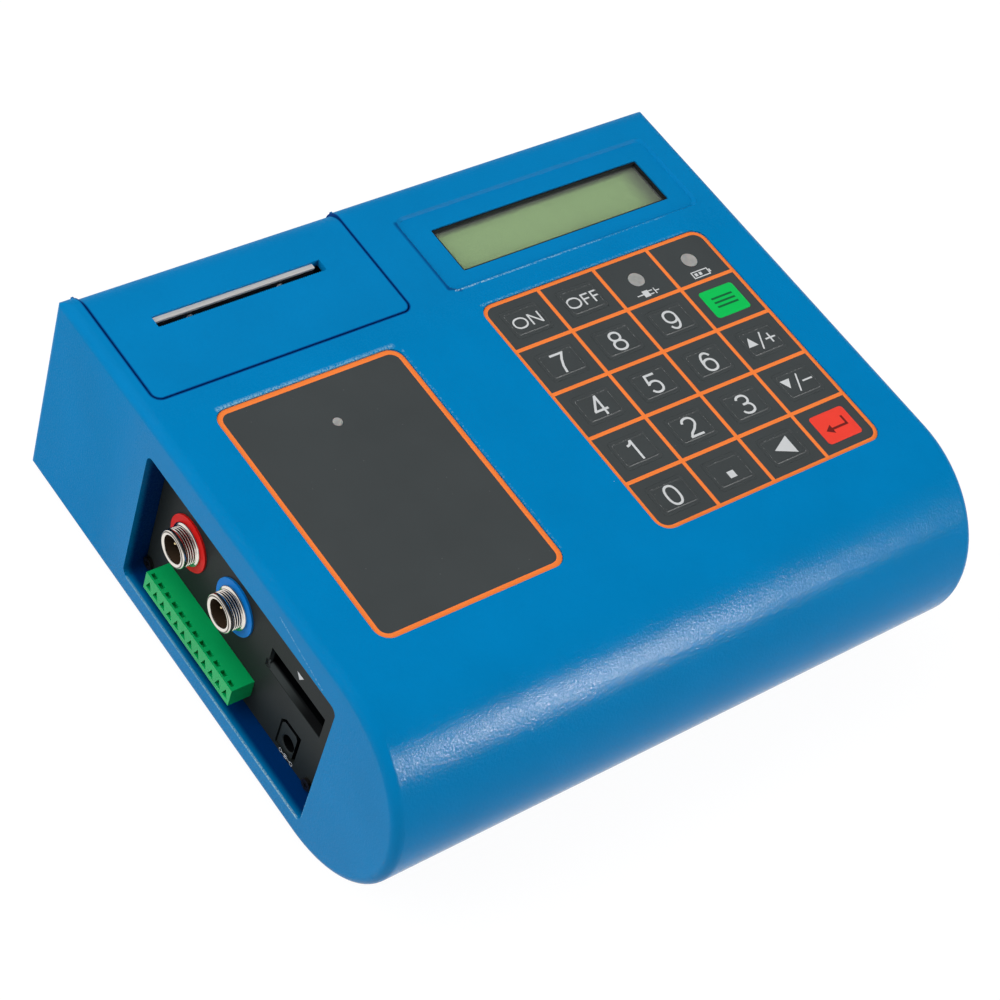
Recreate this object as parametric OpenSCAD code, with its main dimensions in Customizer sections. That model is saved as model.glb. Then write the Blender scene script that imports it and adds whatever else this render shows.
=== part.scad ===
// Portable ultrasonic flow meter with a keypad, a two-line display and a built-in printer.
// Millimetres. X runs along the width, Y towards the back, Z up from the feet.
// The origin is the middle of the box round the meter, at the height of what it stands on.

/* [Case] */
// Width of the case
case_w = 218; // [214:1:230]
// Depth of the case from the round nose to the back
case_d = 186.5; // [185:0.5:196]
// Height of the case without its feet
case_h = 74.5; // [73:0.5:80]
// Thickness of the moulded walls
wall = 3; // [2.6:0.1:3.4]
// Rounding of the side edges
side_edge_r = 3; // [2:0.25:4]
// Rounding of the top back edge
back_edge_r = 6; // [5:0.25:7]
// Thickness of the base plate
base_t = 3; // [2.6:0.1:3.4]
// Height of a rubber foot
foot_h = 2; // [1.5:0.25:4]
// Radius of a rubber foot
foot_r = 6; // [4:0.25:7]

/* [Keypad] */
// Distance between key columns
key_pitch_x = 21.66; // [21:0.1:22]
// Distance between key rows
key_pitch_y = 18.42; // [18:0.1:18.6]
// Width of a key pad
key_w = 13.6; // [10:0.2:16]
// Length of a key pad
key_l = 11; // [8:0.2:13]
// Travel of a key
key_travel = 0.4; // [0.3:0.05:0.5]
// Height of a key pad above its sheet
key_proud = 0.35; // [0.2:0.05:0.6]
// Distance from the right side of the case to the keypad's outer line
keypad_side = 17.36; // [15:0.2:19]
// Distance from the start of the round nose to the keypad's outer line
keypad_front = 2.95; // [2:0.2:4]
// Thickness of the printed sheets
sheet_t = 0.4; // [0.3:0.05:0.5]
// Thickness of the switch layer under the keypad
circuit_t = 1.1; // [1:0.05:1.2]

/* [Display] */
// Width of the display window
window_w = 82; // [78:0.5:84]
// Length of the display window
window_l = 18.3; // [16:0.2:20]
// Distance from the right side of the case to the window
window_side = 17; // [16:0.5:19]
// Distance from the back of the case to the window
window_back = 20.35; // [19.5:0.5:22]
// Depth of the sunk field round the window
field_depth = 0.8; // [0.4:0.1:1.2]

/* [Printer] */
// Width of the lid
lid_w = 89; // [86:0.5:91]
// Length of the lid from its front seam to the back of the case
lid_l = 46; // [44:0.25:48]
// Distance from the left side of the case to the lid
lid_side = 5.4; // [5:0.2:8]
// Thickness of the lid
lid_t = 2.5; // [2:0.1:3]
// Width of the seam round the lid
seam = 0.4; // [0.3:0.05:0.6]
// Width of the paper
paper_w = 57; // [50:0.5:58]
// Radius of a full paper roll
roll_r = 18; // [12:0.5:18.5]
// Radius of the rubber roller
platen_r = 5; // [4:0.1:5.3]
// Teeth of the roller's gear
platen_teeth = 30; // [28:1:31]
// Teeth of the motor's pinion
pinion_teeth = 13; // [12:1:14]

/* [Connector side] */
// Distance from the back of the case to the recess
recess_back = 54; // [53:0.5:56]
// Length of the recess
recess_l = 96.85; // [95:0.5:98]
// Height of the recess
recess_h = 54.35; // [52:0.5:56]
// Height of the recess above the underside of the case
recess_up = 8.35; // [7.5:0.2:9]
// Depth of the recess to the face of the panel
recess_depth = 7.7; // [7:0.1:9]
// Radius of the socket thread
thread_r = 6; // [5.5:0.1:6.5]
// Length of the socket thread outside the panel
thread_l = 6; // [5:0.25:7]
// Outer radius of a coloured ring
ring_r = 9.05; // [8:0.1:10]
// Distance between the two sockets
socket_pitch = 25; // [22:0.5:27]
// Number of poles of the terminal plug
poles = 12; // [8:1:12]
// Distance between the poles
pole_pitch = 3.81; // [3.5:0.01:3.81]
// Height of the terminal plug
plug_h = 7.1; // [6:0.1:8]
// Width of a memory card
card_w = 24; // [22:0.5:25]
// Radius of the power jack's hole
jack_hole_r = 3.1; // [2.75:0.05:3.3]

/* [Hidden] */
$fn = 48;

// How far a cut runs past the face that it opens
over = 1;
// Gap round a piece that drops into its seat
fit = 0.15;
// Gap all round the base plate and the panel
loose = 0.3;
// Radial gap of a shaft in its bore
running = 0.05;
// Thinnest slice, which only starts a sloped cut
skin = 0.01;

case_blue = [0.02, 0.36, 0.6];
panel_black = [0.07, 0.07, 0.08];
sheet_grey = [0.22, 0.23, 0.24];
steel = [0.75, 0.76, 0.78];
board_green = [0.05, 0.3, 0.15];
plug_green = [0.1, 0.5, 0.25];
rubber_black = [0.05, 0.05, 0.05];
nylon_white = [0.88, 0.87, 0.83];

// Faces of the case
x_left = -case_w / 2;
x_right = case_w / 2;
y_back = case_d / 2;
nose_r = case_h / 2;
nose_y = -y_back + nose_r;
z_under = foot_h;
z_mid = z_under + nose_r;
z_top = z_under + case_h;
z_ceiling = z_top - wall;
z_floor = z_under + base_t;

// Keypad
key_cols = 4;
key_rows = 5;
line_w = 1.3;
sheet_r = 4;
sheet_sink = 0.5;
key_r = 1.2;
key_gap = 0.12;
dome_h = 0.15;
dome_r = 4;
keypad_w = key_cols * key_pitch_x;
keypad_l = key_rows * key_pitch_y;
keypad_x = x_right - keypad_side - keypad_w;
keypad_y = nose_y + keypad_front;
z_sheet = z_top - sheet_sink;
z_circuit = z_sheet - sheet_t;
z_keypad_seat = z_circuit - circuit_t;
pocket_depth = key_travel + dome_h + running;

// Printed plate beside the keypad, with its small lamp
label_gap = 33.2;
label_back = 10.75;
label_side = 18;
label_front = 6.65;
label_x = x_left + label_side;
label_y = nose_y + label_front;
label_w = keypad_x - label_gap - label_x;
label_l = y_back - lid_l - label_back - label_y;
label_lamp_back = 16.4;
lamp_r = 2.7;
small_lamp_r = 1.5;
lamp_proud = 0.35;
lamp_foot = 1;
label_lamp = [label_x + label_w / 2, label_y + label_l - label_lamp_back];

// Display, from the sunk field down to the board
field_left = 9.3;
field_right = 8;
field_front = 6.3;
field_rear = 7.6;
field_slope = 0.9;
field_r = 3;
field_fn = 32;
window_x = x_right - window_side - window_w;
window_y = y_back - window_back - window_l;
window_mid = [window_x + window_w / 2, window_y + window_l / 2];
window_r = 0.8;
z_field = z_top - field_depth;
collar_t = 0.5;
collar_sink = 0.4;
clear_t = 0.8;
glass_border = 3;
glass_down = 0.3;
bezel_border_x = 6.5;
bezel_border_y = 4.5;
bezel_h = 3.2;
board_t = 1.6;
lcd_border_x = 12;
lcd_border_y = 9.35;
z_glass = z_ceiling - glass_down;
z_lcd_board = z_ceiling - bezel_h;
lcd_x = [window_x - lcd_border_x, window_x + window_w + lcd_border_x];
lcd_y = [window_y - lcd_border_y, window_y + window_l + lcd_border_y];
stake_r = 2.5;
stake_pin_r = 1.2;
stake_inset = 2.8;
stake_out = 0.8;
stake_x = [lcd_x[0] + stake_inset, lcd_x[1] - stake_inset];
stake_y = [lcd_y[0] + stake_inset, lcd_y[1] - stake_inset];
lcd_chip = [12, 9, 1.2];
lcd_chip_shares = [0.2, 0.45, 0.7];

// Lid, its seat and its hinge
lid_x = x_left + lid_side;
lid_y = y_back - lid_l;
lid_mid = lid_x + lid_w / 2;
lid_far = lid_x + lid_w;
lid_corner_r = 3;
lid_edge_extra = 2;
lid_back_r = back_edge_r + lid_edge_extra;
ledge = 2;
bay_outside = 1;
z_seat = z_top - lid_t - running;
lid_span = [lid_x + seam / 2, lid_far - seam / 2];
opening_span = [lid_x - seam / 2, lid_far + seam / 2];
hinge_pin_r = 1;
knuckle_r = 2.05;
hinge_down = 14.5;
hinge_y = y_back - knuckle_r;
hinge_z = z_top - hinge_down;
hinge_at = [hinge_y, hinge_z];
hinge_gap = 0.35;
flange_up = 0.2;
lug_web_back = 0.6;
z_hinge_wall = hinge_z - knuckle_r - hinge_gap;
// Where the hinge changes between case and lid, as shares of the lid's width
hinge_shares = [0, 0.12, 0.4, 0.6, 0.88, 1];
hinge_x = [for (share = hinge_shares) lid_x + lid_w * share];

// Paper slot with its serrated lip
slot_spare = 1.3;
slot_w = paper_w + slot_spare;
slot_l = 4.6;
slot_back = 20.2;
slot_teeth = 80;
slot_tooth = 0.35;
slot_y = y_back - slot_back;
slot_x = lid_mid - slot_w / 2;

// Printer mechanism, which hangs under the lid
bar_t = 1.7;
bar_h = 5.5;
bar_sink = 0.7;
bar_short = 2.5;
bar_groove = 0.3;
bar_groove_down = 1.6;
bar_groove_h = 0.8;
bar_y = [slot_y + slot_l / 2 - fit - bar_t, slot_y + slot_l / 2 - fit];
bar_x = [slot_x + fit, slot_x + slot_w - bar_short];
bar_z = [z_top - bar_sink - bar_h, z_top - bar_sink];
bar_screw_r = 0.7;
bar_screw_head_r = 1.15;
bar_screw_head = 0.5;
bar_screw_l = 2.8;
bar_screw_down = 3.6;
bar_screw_shares = [0.22, 0.78];
frame_t = 1.5;
frame_spare = 2;
frame_half = paper_w / 2 + frame_spare;
frame_top = z_top - lid_t;
frame_h = 18;
frame_l = 23.15;
frame_deck_l = 12.5;
head_h = 11.5;
head_down = 4.5;
head_t = 2;
shaft_r = 1.5;
shaft_out = 1;
nip = 0.1;
platen_down = 10.5;
head_y = [bar_y[0], bar_y[0] + head_t];
frame_y = [head_y[1] + frame_t - frame_l, head_y[1] + frame_t];
head_z = [frame_top - head_down - head_h, frame_top - head_down];
platen_at = [bar_y[0] - nip - platen_r, frame_top - platen_down];
tooth_module = 0.5;
addendum_share = 0.9;
dedendum_share = 1.25;
flank_steps = 3;
gear_w = 4;
gear_gap = 0.5;
mesh_angle = 175;
backlash = 0.06;
pressure_angle = 20;
motor_r = 5;
motor_l = 14;
motor_shaft_r = 1;
motor_grip = 2;
motor_reach = tooth_module * (platen_teeth + pinion_teeth) / 2;
pinion_at = platen_at + motor_reach * [cos(mesh_angle), sin(mesh_angle)];
gear_x = [lid_mid - frame_half - frame_t - gear_gap - gear_w, lid_mid - frame_half - frame_t - gear_gap];

// Paper roll and its spindle
core_r = 6.3;
core_play = 0.1;
journal_r = 3;
journal_l = 4;
support_gap = 3;
support_t = 3;
support_w = 16;
support_up = 6;
roll_back = 19.75;
// Room under the roll as a share of the room between the base plate and the print head
roll_under_share = 5 / 17;
roll_y = y_back - wall - roll_back;
roll_z = z_floor + roll_r + roll_under_share * (head_z[0] - z_floor - 2 * roll_r);
roll_half = paper_w / 2;
spindle_half = roll_half + support_gap - loose;

// Feet, screw posts and screws
foot_in_x = 17;
foot_in_front = 12;
foot_in_back = 15.25;
post_r = 3.2;
pilot_r = 1.25;
pilot_depth = 9;
screw_r = pilot_r - running;
screw_l = 8;
screw_hole_r = 1.6;
head_r = 2.7;
head_room = 0.2;
screw_head = 1.8;
drive_width_share = 0.24;
drive_depth_share = 0.5;
post_side = 7.5;
post_nose = 3;
post_card_gap = 0.8;
post_front_right = 9.5;
post_back = 6.75;
post_left = 8;
post_bay_gap = 4.8;
post_lcd_gap = 4.75;
post_lid_gap = 6.1;
bay_post_x = 6.3;
bay_post_h = 40;

// Recess on the left side and its panel
recess_r = 2.5;
tub_t = 2;
tub_past = 4;
panel_t = 1.5;
panel_r = 2.2;
recess_y = [y_back - recess_back - recess_l, y_back - recess_back];
plug_spare = 1;
plug_l = poles * pole_pitch + plug_spare;
pocket_w = 9.6;
scoop_spare = 3;
// Room along the recess that the plug and the jack leave, and that the sockets and the scoop leave
plug_room = recess_l - plug_l - pocket_w;
socket_room = recess_l - socket_pitch - card_w - scoop_spare;
plug_back_share = 0.2588;
jack_front_share = 0.3874;
red_back_share = 0.3757;
scoop_front_share = 0.2141;
panel_screw_share = 0.516;
jack_front = jack_front_share * plug_room;
panel_screw_front = panel_screw_share * jack_front;
boss_past = 3;
boss_l = panel_screw_front + boss_past;
boss_back_share = 0.529;
boss_w = boss_back_share * plug_back_share * plug_room;
recess_z = [z_under + recess_up, z_under + recess_up + recess_h];
panel_x = [x_left + recess_depth, x_left + recess_depth + panel_t];
tub_x = panel_x[1] + tub_past;
boss_h = 6.2;
panel_screw_back = 2.25;
panel_screw_up = 3;
panel_screw_r = 1.1;
panel_screw_hole = 1.3;
panel_screw_head_r = 2;
panel_screw_head = 1.1;
panel_screw_l = 5;
panel_screw_y = [recess_y[0] + panel_screw_front, recess_y[1] - panel_screw_back];
panel_screw_z = [recess_z[0] + panel_screw_up, recess_z[1] - panel_screw_up];

// Sockets
ring_t = 0.6;
socket_up = 29.45;
collar_extra = 0.9;
collar_w = 1;
ridge_depth = 0.5;
ridges = 5;
// Where a ridge's crest ends and its groove begins and ends, as shares of one ridge
ridge_shares = [0.3, 0.55, 0.75];
rear_less = 0.5;
bore_less = 1;
lip_less = 1.4;
lip_t = 0.4;
shell_chamfer = 0.3;
shell_past = 9.4;
hole_play = 0.15;
nut_past = 1;
nut_t = 3.5;
insert_face = 8.8;
pin_r = 0.5;
pin_apart = 1.6;
sleeve_t = 0.5;
red_at = [recess_y[1] - red_back_share * socket_room, recess_z[0] + socket_up];
blue_at = [red_at[0] - socket_pitch, red_at[1]];
shell_x = [panel_x[0] - thread_l, panel_x[0] + shell_past];
free_depth = 4.3;

// Terminal plug and its header
plug_back = plug_back_share * plug_room;
plug_up = 5.35;
plug_past = 6.3;
plug_y = [recess_y[1] - plug_back - plug_l, recess_y[1] - plug_back];
plug_z = [recess_z[0] + plug_up, recess_z[0] + plug_up + plug_h];
plug_x = [x_left, panel_x[0] + plug_past];
header_end = 1.2;
header_side = 0.8;
header_past = 9.3;
header_floor = 2;
header_foot = 3;
header_x = [panel_x[1] + loose, panel_x[0] + header_past];
header_y = [plug_y[0] - header_end, plug_y[1] + header_end];
header_z = [plug_z[0] - header_side, plug_z[1] + header_side];
notch_w = 2.2;
notch_l = 1.4;
notch_in = 0.7;
notch_h = 1.6;
funnel_w = 2.8;
funnel_h = 3.4;
funnel_up = 1.7;
funnel_depth = 1.6;
wire_w = 1.5;
wire_depth = 7;
pin_play = 0.1;
pin_in = 4.5;
pin_tail = 1.6;

// Main board on its spacers
spacer_h = 5;
spacer_r = 3;
z_board = z_floor + spacer_h;
z_board_top = z_board + board_t;
board_past = 6.3;
board_right = 13;
board_front = 7;
board_back = 3.8;
board_in = 5;
board_in_left = 14;
board_x = [panel_x[0] + board_past, x_right - board_right];
board_y = [nose_y + board_front, lid_y - board_back];
board_spots = [[board_x[0] + board_in_left, board_y[0] + board_in],
    [board_x[1] - board_in, board_y[0] + board_in],
    [board_x[0] + board_in, board_y[1] - board_in], [board_x[1] - board_in, board_y[1] - board_in]];
// Parts on the main board: place as shares of the board, then width, length and height
part_shares = [[0.32, 0.3], [0.52, 0.62], [0.7, 0.25], [0.86, 0.6], [0.24, 0.78], [0.4, 0.1]];
part_sizes = [[20, 20, 1.6], [14, 14, 1.6], [26, 11, 9], [16, 22, 14], [18, 8, 3], [10, 6, 2.5]];

// Card scoop, reader and reader's board
scoop_front = scoop_front_share * socket_room;
scoop_up = 23.95;
scoop_h = 9;
scoop_in = 7;
lip_in = 2.1;
lip_rise = 1.7;
scoop_dip = 0.5;
scoop_t = 1.2;
card_slot_spare = 1;
card_slot_h = 3.4;
card_slot_down = 4;
reader_spare = 4;
reader_l = 28;
reader_h = 4;
reader_wall = 0.5;
reader_mouth = 2.6;
card_board_in = 0.2;
card_board_l = 35;
shelf_t = 2.5;
shelf_boss_r = 2.5;
shelf_boss_in = 3.4;
shelf_pilot = 7;
shelf_boss_h = 8.4;
reset_w = 2;
reset_h = 3;
scoop_y = [recess_y[0] + scoop_front, recess_y[0] + scoop_front + card_w + scoop_spare];
scoop_z = [recess_z[0] + scoop_up, recess_z[0] + scoop_up + scoop_h];
scoop_x = panel_x[0] + scoop_in;
card_slot_z = [scoop_z[1] - card_slot_down, scoop_z[1] - card_slot_down + card_slot_h];
card_mid = (scoop_y[0] + scoop_y[1]) / 2;
card_half = (card_w + card_slot_spare) / 2;
reader_x = [scoop_x + scoop_t + card_board_in, scoop_x + scoop_t + card_board_in + reader_l];
reader_y = [card_mid - (card_w + reader_spare) / 2, card_mid + (card_w + reader_spare) / 2];
z_card_board = card_slot_z[0] - loose - board_t;
reader_z = [z_card_board + board_t, z_card_board + board_t + reader_h];
card_board_x = [reader_x[0], reader_x[0] + card_board_l];
card_spots = [for (y = [reader_y[0] + shelf_boss_in, reader_y[1] - shelf_boss_in])
    [card_board_x[1] - shelf_boss_in, y]];
post_spots = [[card_board_x[1] + post_card_gap + post_r, nose_y + post_nose], [0, nose_y + post_nose],
    [x_right - post_front_right, nose_y + post_nose], [x_left + post_left, lid_y - post_bay_gap],
    [x_right - post_side, lcd_y[0] - post_lcd_gap], [x_right - post_side, y_back - post_back],
    [lid_far + post_lid_gap, y_back - post_back]];
bay_post = [lid_x + bay_post_x, y_back - post_back];

// Power jack
jack_up = 6.15;
pocket_h = 13.3;
pocket_up = 1.65;
pocket_chamfer = 2;
jack_flush = 0.5;
jack_l = 14;
jack_hole_l = 9.5;
jack_pin_r = 1;
jack_pin_l = 7.5;
jack_y = recess_y[0] + jack_front + pocket_w / 2;
jack_z = recess_z[0] + jack_up;
pocket_z = [recess_z[0] + pocket_up, recess_z[0] + pocket_up + pocket_h];
jack_x = [panel_x[0] + jack_flush, panel_x[0] + jack_flush + jack_l];

// Battery pack in its fence
battery_gap = 23.1;
battery_w = 37;
battery_r = 9;
battery_side = 29;
battery_back = 5.5;
fence_t = 1.5;
fence_h = 8;
battery_x = [lid_far + battery_gap, x_right - battery_side];
battery_y = [y_back - battery_back - battery_w, y_back - battery_back];

// Rounded rectangle with its corner in the origin
module rounded(w, l, r) {
    translate([r, 0]) square([w - 2 * r, l]);
    translate([0, r]) square([w, l - 2 * r]);
    for (x = [r, w - r], y = [r, l - r]) translate([x, y]) circle(r = r);
}

// Box and plate given by their start and end along each axis
module block(x, y, z) {
    translate([x[0], y[0], z[0]]) cube([x[1] - x[0], y[1] - y[0], z[1] - z[0]]);
}
module plate(x, y, z, r) {
    translate([x[0], y[0], z[0]]) linear_extrude(z[1] - z[0]) rounded(x[1] - x[0], y[1] - y[0], r);
}

// A drawing of Y and Z pulled along X, and one of X and Z pulled along Y
module along_x(x) {
    translate([x[0], 0, 0]) rotate([90, 0, 90]) linear_extrude(x[1] - x[0]) children();
}
module along_y(y) {
    translate([0, y[1], 0]) rotate([90, 0, 0]) linear_extrude(y[1] - y[0]) children();
}

// Round bars along X, Y and Z
module bar_x(x, at, r) {
    translate([x[0], at[0], at[1]]) rotate([0, 90, 0]) cylinder(r = r, h = x[1] - x[0]);
}
module bar_y(y, at, r) {
    translate([at[0], y[1], at[1]]) rotate([90, 0, 0]) cylinder(r = r, h = y[1] - y[0]);
}
module bar_z(z, at, r) {
    translate([at[0], at[1], z[0]]) cylinder(r = r, h = z[1] - z[0]);
}

// A drawing of radius and X turned round an axis along X
module turned(at) {
    translate([0, at[0], at[1]]) rotate([0, 90, 0]) rotate_extrude() children();
}

// Side view of the case, made smaller by an inset on its top and back
module side_view(back_r, inset) {
    translate([nose_y, z_under]) square([y_back - back_r - nose_y, case_h - inset]);
    translate([nose_y, z_under]) square([y_back - inset - nose_y, case_h - back_r]);
    translate([y_back - back_r, z_top - back_r]) circle(r = back_r - inset);
}

// Outer shape of the case: a rounded box with a half-round nose
module case_solid() {
    intersection() {
        along_y([nose_y, y_back]) translate([x_left, z_under]) rounded(case_w, case_h, side_edge_r);
        along_x([x_left, x_right]) side_view(back_edge_r, 0);
        plate([x_left, x_right], [nose_y - case_h, y_back], [z_under, z_top], side_edge_r);
    }
    translate([0, nose_y, z_mid]) rotate([180, -90, 0]) rotate_extrude(angle = 180) nose_half();
}
module nose_half() {
    flat = nose_r - side_edge_r;
    translate([0, x_left]) square([flat, case_w]);
    translate([0, x_left + side_edge_r]) square([nose_r, case_w - 2 * side_edge_r]);
    for (side = [-1, 1]) translate([flat, side * (x_right - side_edge_r)]) circle(r = side_edge_r);
}
module case_cavity() {
    x = [x_left + wall, x_right - wall];
    block(x, [nose_y, y_back - wall], [z_under - over, z_ceiling]);
    bar_x(x, [nose_y, z_mid], nose_r - wall);
}

// Seat in the top for a printed sheet, given by the line printed near its edge
module sheet_plate(x, y, w, l, z, play) {
    edge = line_w / 2 + play;
    plate([x - edge, x + w + edge], [y - edge, y + l + edge], z, sheet_r + edge);
}

// Window through the top with the sunk field round it
module display_cuts() {
    plate([window_x, window_x + window_w], [window_y, window_y + window_l], [z_ceiling - over, z_top],
        window_r);
    hull() {
        field_plate(z_field, skin, field_slope);
        field_plate(z_top, over, 0);
    }
}
module field_plate(z, h, inset) {
    x = [window_x - field_left + inset, window_x + window_w + field_right - inset];
    y = [window_y - field_front + inset, window_y + window_l + field_rear - inset];
    translate([x[0], y[0], z]) linear_extrude(h) rounded(x[1] - x[0], y[1] - y[0], field_r, $fn = field_fn);
}

// Walls of the paper bay, whose tops carry the lid
module bay_walls() {
    y = [lid_y - bay_outside, y_back - over];
    z = [z_floor + loose, z_ceiling + over];
    block([lid_x - bay_outside, lid_x + ledge], y, z);
    block([lid_far - ledge, lid_far + bay_outside], y, z);
    block([lid_x - bay_outside, lid_far + bay_outside], [lid_y - bay_outside, lid_y + ledge], z);
}
module lid_opening() {
    front = lid_y - seam / 2;
    intersection() {
        along_x(opening_span) difference() {
            translate([front, z_hinge_wall]) square([y_back + over - front, z_top + over - z_hinge_wall]);
            side_view(lid_back_r, lid_t + running);
        }
        plate(opening_span, [front, y_back + lid_corner_r + 2 * over], [z_under, z_top + 2 * over],
            lid_corner_r + seam / 2);
    }
    block(opening_span, [y_back - wall, y_back + over], [z_hinge_wall, z_top + over]);
    block([lid_x + ledge, lid_far - ledge], [lid_y + ledge, y_back - wall],
        [z_ceiling - over, z_top + over]);
}

// Three lugs of the case that hold the hinge pin
module hinge_lugs() {
    for (i = [0 : 2 : 4]) {
        x = [i == 0 ? hinge_x[i] - over : hinge_x[i] + hinge_gap,
            i == 4 ? hinge_x[i + 1] + over : hinge_x[i + 1] - hinge_gap];
        bar_x(x, hinge_at, knuckle_r);
        block(x, [hinge_y - knuckle_r, hinge_y + lug_web_back], [z_hinge_wall - over, hinge_z]);
    }
}

// Tub behind the recess and the four bosses for the panel screws
module recess_tub() {
    block([x_left + over, tub_x], [recess_y[0] - tub_t, recess_y[1] + tub_t],
        [recess_z[0] - tub_t, recess_z[1] + tub_t]);
}
module panel_bosses() {
    for (z = [[recess_z[0] - over, recess_z[0] + boss_h], [recess_z[1] - boss_h, recess_z[1] + over]]) {
        block([panel_x[1], tub_x], [recess_y[0] - over, recess_y[0] + boss_l], z);
        block([panel_x[1], tub_x], [recess_y[1] - boss_w, recess_y[1] + over], z);
    }
}

module upper_case() {
    color(case_blue) difference() {
        union() {
            difference() {
                union() {
                    difference() {
                        case_solid();
                        case_cavity();
                    }
                    recess_tub();
                }
                along_x([x_left - over, tub_x + over]) translate([recess_y[0], recess_z[0]])
                    rounded(recess_l, recess_h, recess_r);
                lid_opening();
            }
            panel_bosses();
            difference() {
                bay_walls();
                lid_opening();
            }
            for (spot = post_spots) bar_z([z_floor, z_ceiling + over], spot, post_r);
            bar_z([z_floor, bay_post_h], bay_post, post_r);
            block([bay_post[0] - post_r, bay_post[0] + post_r], [bay_post[1], y_back - over],
                [z_floor + loose, bay_post_h]);
            for (x = stake_x, y = stake_y) {
                bar_z([z_lcd_board, z_ceiling + over], [x, y], stake_r);
                bar_z([z_lcd_board - board_t - stake_out, z_ceiling], [x, y], stake_pin_r);
            }
            hinge_lugs();
        }
        sheet_plate(keypad_x, keypad_y, keypad_w, keypad_l, [z_keypad_seat, z_top + over], fit);
        sheet_plate(label_x, label_y, label_w, label_l, [z_circuit, z_top + over], fit);
        bar_z([z_sheet - lamp_foot - running, z_top], label_lamp, small_lamp_r + fit);
        display_cuts();
        bar_x([hinge_x[0] - running, hinge_x[5] + running], hinge_at, hinge_pin_r + running);
        for (spot = post_spots) bar_z([z_floor - over, z_floor + pilot_depth], spot, pilot_r);
        bar_z([z_floor - over, z_floor + pilot_depth], bay_post, pilot_r);
        for (y = panel_screw_y, z = panel_screw_z)
            bar_x([panel_x[1] - over, tub_x + over], [y, z], panel_screw_r + running);
    }
}

module base_plate() {
    color(case_blue) difference() {
        union() {
            block([x_left + wall + loose, x_right - wall - loose], [nose_y + loose, y_back - wall - loose],
                [z_under, z_floor]);
            for (side = [-1, 1])
                block(support_x(side), [roll_y - support_w / 2, roll_y + support_w / 2],
                    [z_floor - over, roll_z + support_up]);
            for (spot = board_spots) bar_z([z_floor - over, z_board], spot, spacer_r);
            battery_fence();
        }
        for (spot = concat(post_spots, [bay_post])) {
            bar_z([z_under - over, z_floor + over], spot, screw_hole_r);
            bar_z([z_under - over, z_under + screw_head + head_room], spot, head_r + head_room);
        }
        for (spot = board_spots)
            bar_z([z_board + board_t - screw_l - loose, z_board + over], spot, pilot_r);
        for (side = [-1, 1]) {
            bar_x(wider(support_x(side)), [roll_y, roll_z], journal_r + running);
            block(wider(support_x(side)), [roll_y - journal_r - running, roll_y + journal_r + running],
                [roll_z, roll_z + support_up + over]);
        }
    }
}
function wider(span) = [span[0] - over, span[1] + over];
function support_x(side) = side > 0
    ? [lid_mid + roll_half + support_gap, lid_mid + roll_half + support_gap + support_t]
    : [lid_mid - roll_half - support_gap - support_t, lid_mid - roll_half - support_gap];
module battery_fence() {
    z = [z_floor - over, z_floor + fence_h];
    far = fence_t + loose;
    difference() {
        block([battery_x[0] - far, battery_x[1] + far], [battery_y[0] - far, battery_y[1] + far], z);
        block([battery_x[0] - loose, battery_x[1] + loose], [battery_y[0] - loose, battery_y[1] + loose],
            wider(z));
    }
}

// Pan-head screw with a cross recess, its head upwards and its seat at the origin
module screw(r, length, top_r, top_h) {
    difference() {
        union() {
            translate([0, 0, -length]) cylinder(r = r, h = length);
            cylinder(r = top_r, h = top_h);
        }
        for (turn = [0, 90]) rotate([0, 0, turn]) {
            translate([-top_r / 2, -top_r * drive_width_share / 2, top_h * (1 - drive_depth_share)]) {
                cube([top_r, top_r * drive_width_share, top_h]);
            }
        }
    }
}
module case_screws() {
    color(steel) {
        for (spot = concat(post_spots, [bay_post])) {
            translate([spot[0], spot[1], z_under + screw_head + head_room]) mirror([0, 0, 1])
                screw(screw_r, screw_l, head_r, screw_head);
        }
        for (spot = board_spots) translate([spot[0], spot[1], z_board_top])
            screw(screw_r, screw_l, head_r, screw_head);
        for (spot = card_spots) translate([spot[0], spot[1], z_card_board + board_t])
            screw(screw_r, screw_l, head_r, screw_head);
    }
}
module rubber_feet() {
    color(rubber_black) for (side = [-1, 1], y = [nose_y + foot_in_front, y_back - foot_in_back]) {
        translate([side * (x_right - foot_in_x), y, 0]) cylinder(r = foot_r, h = foot_h);
    }
}

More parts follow.
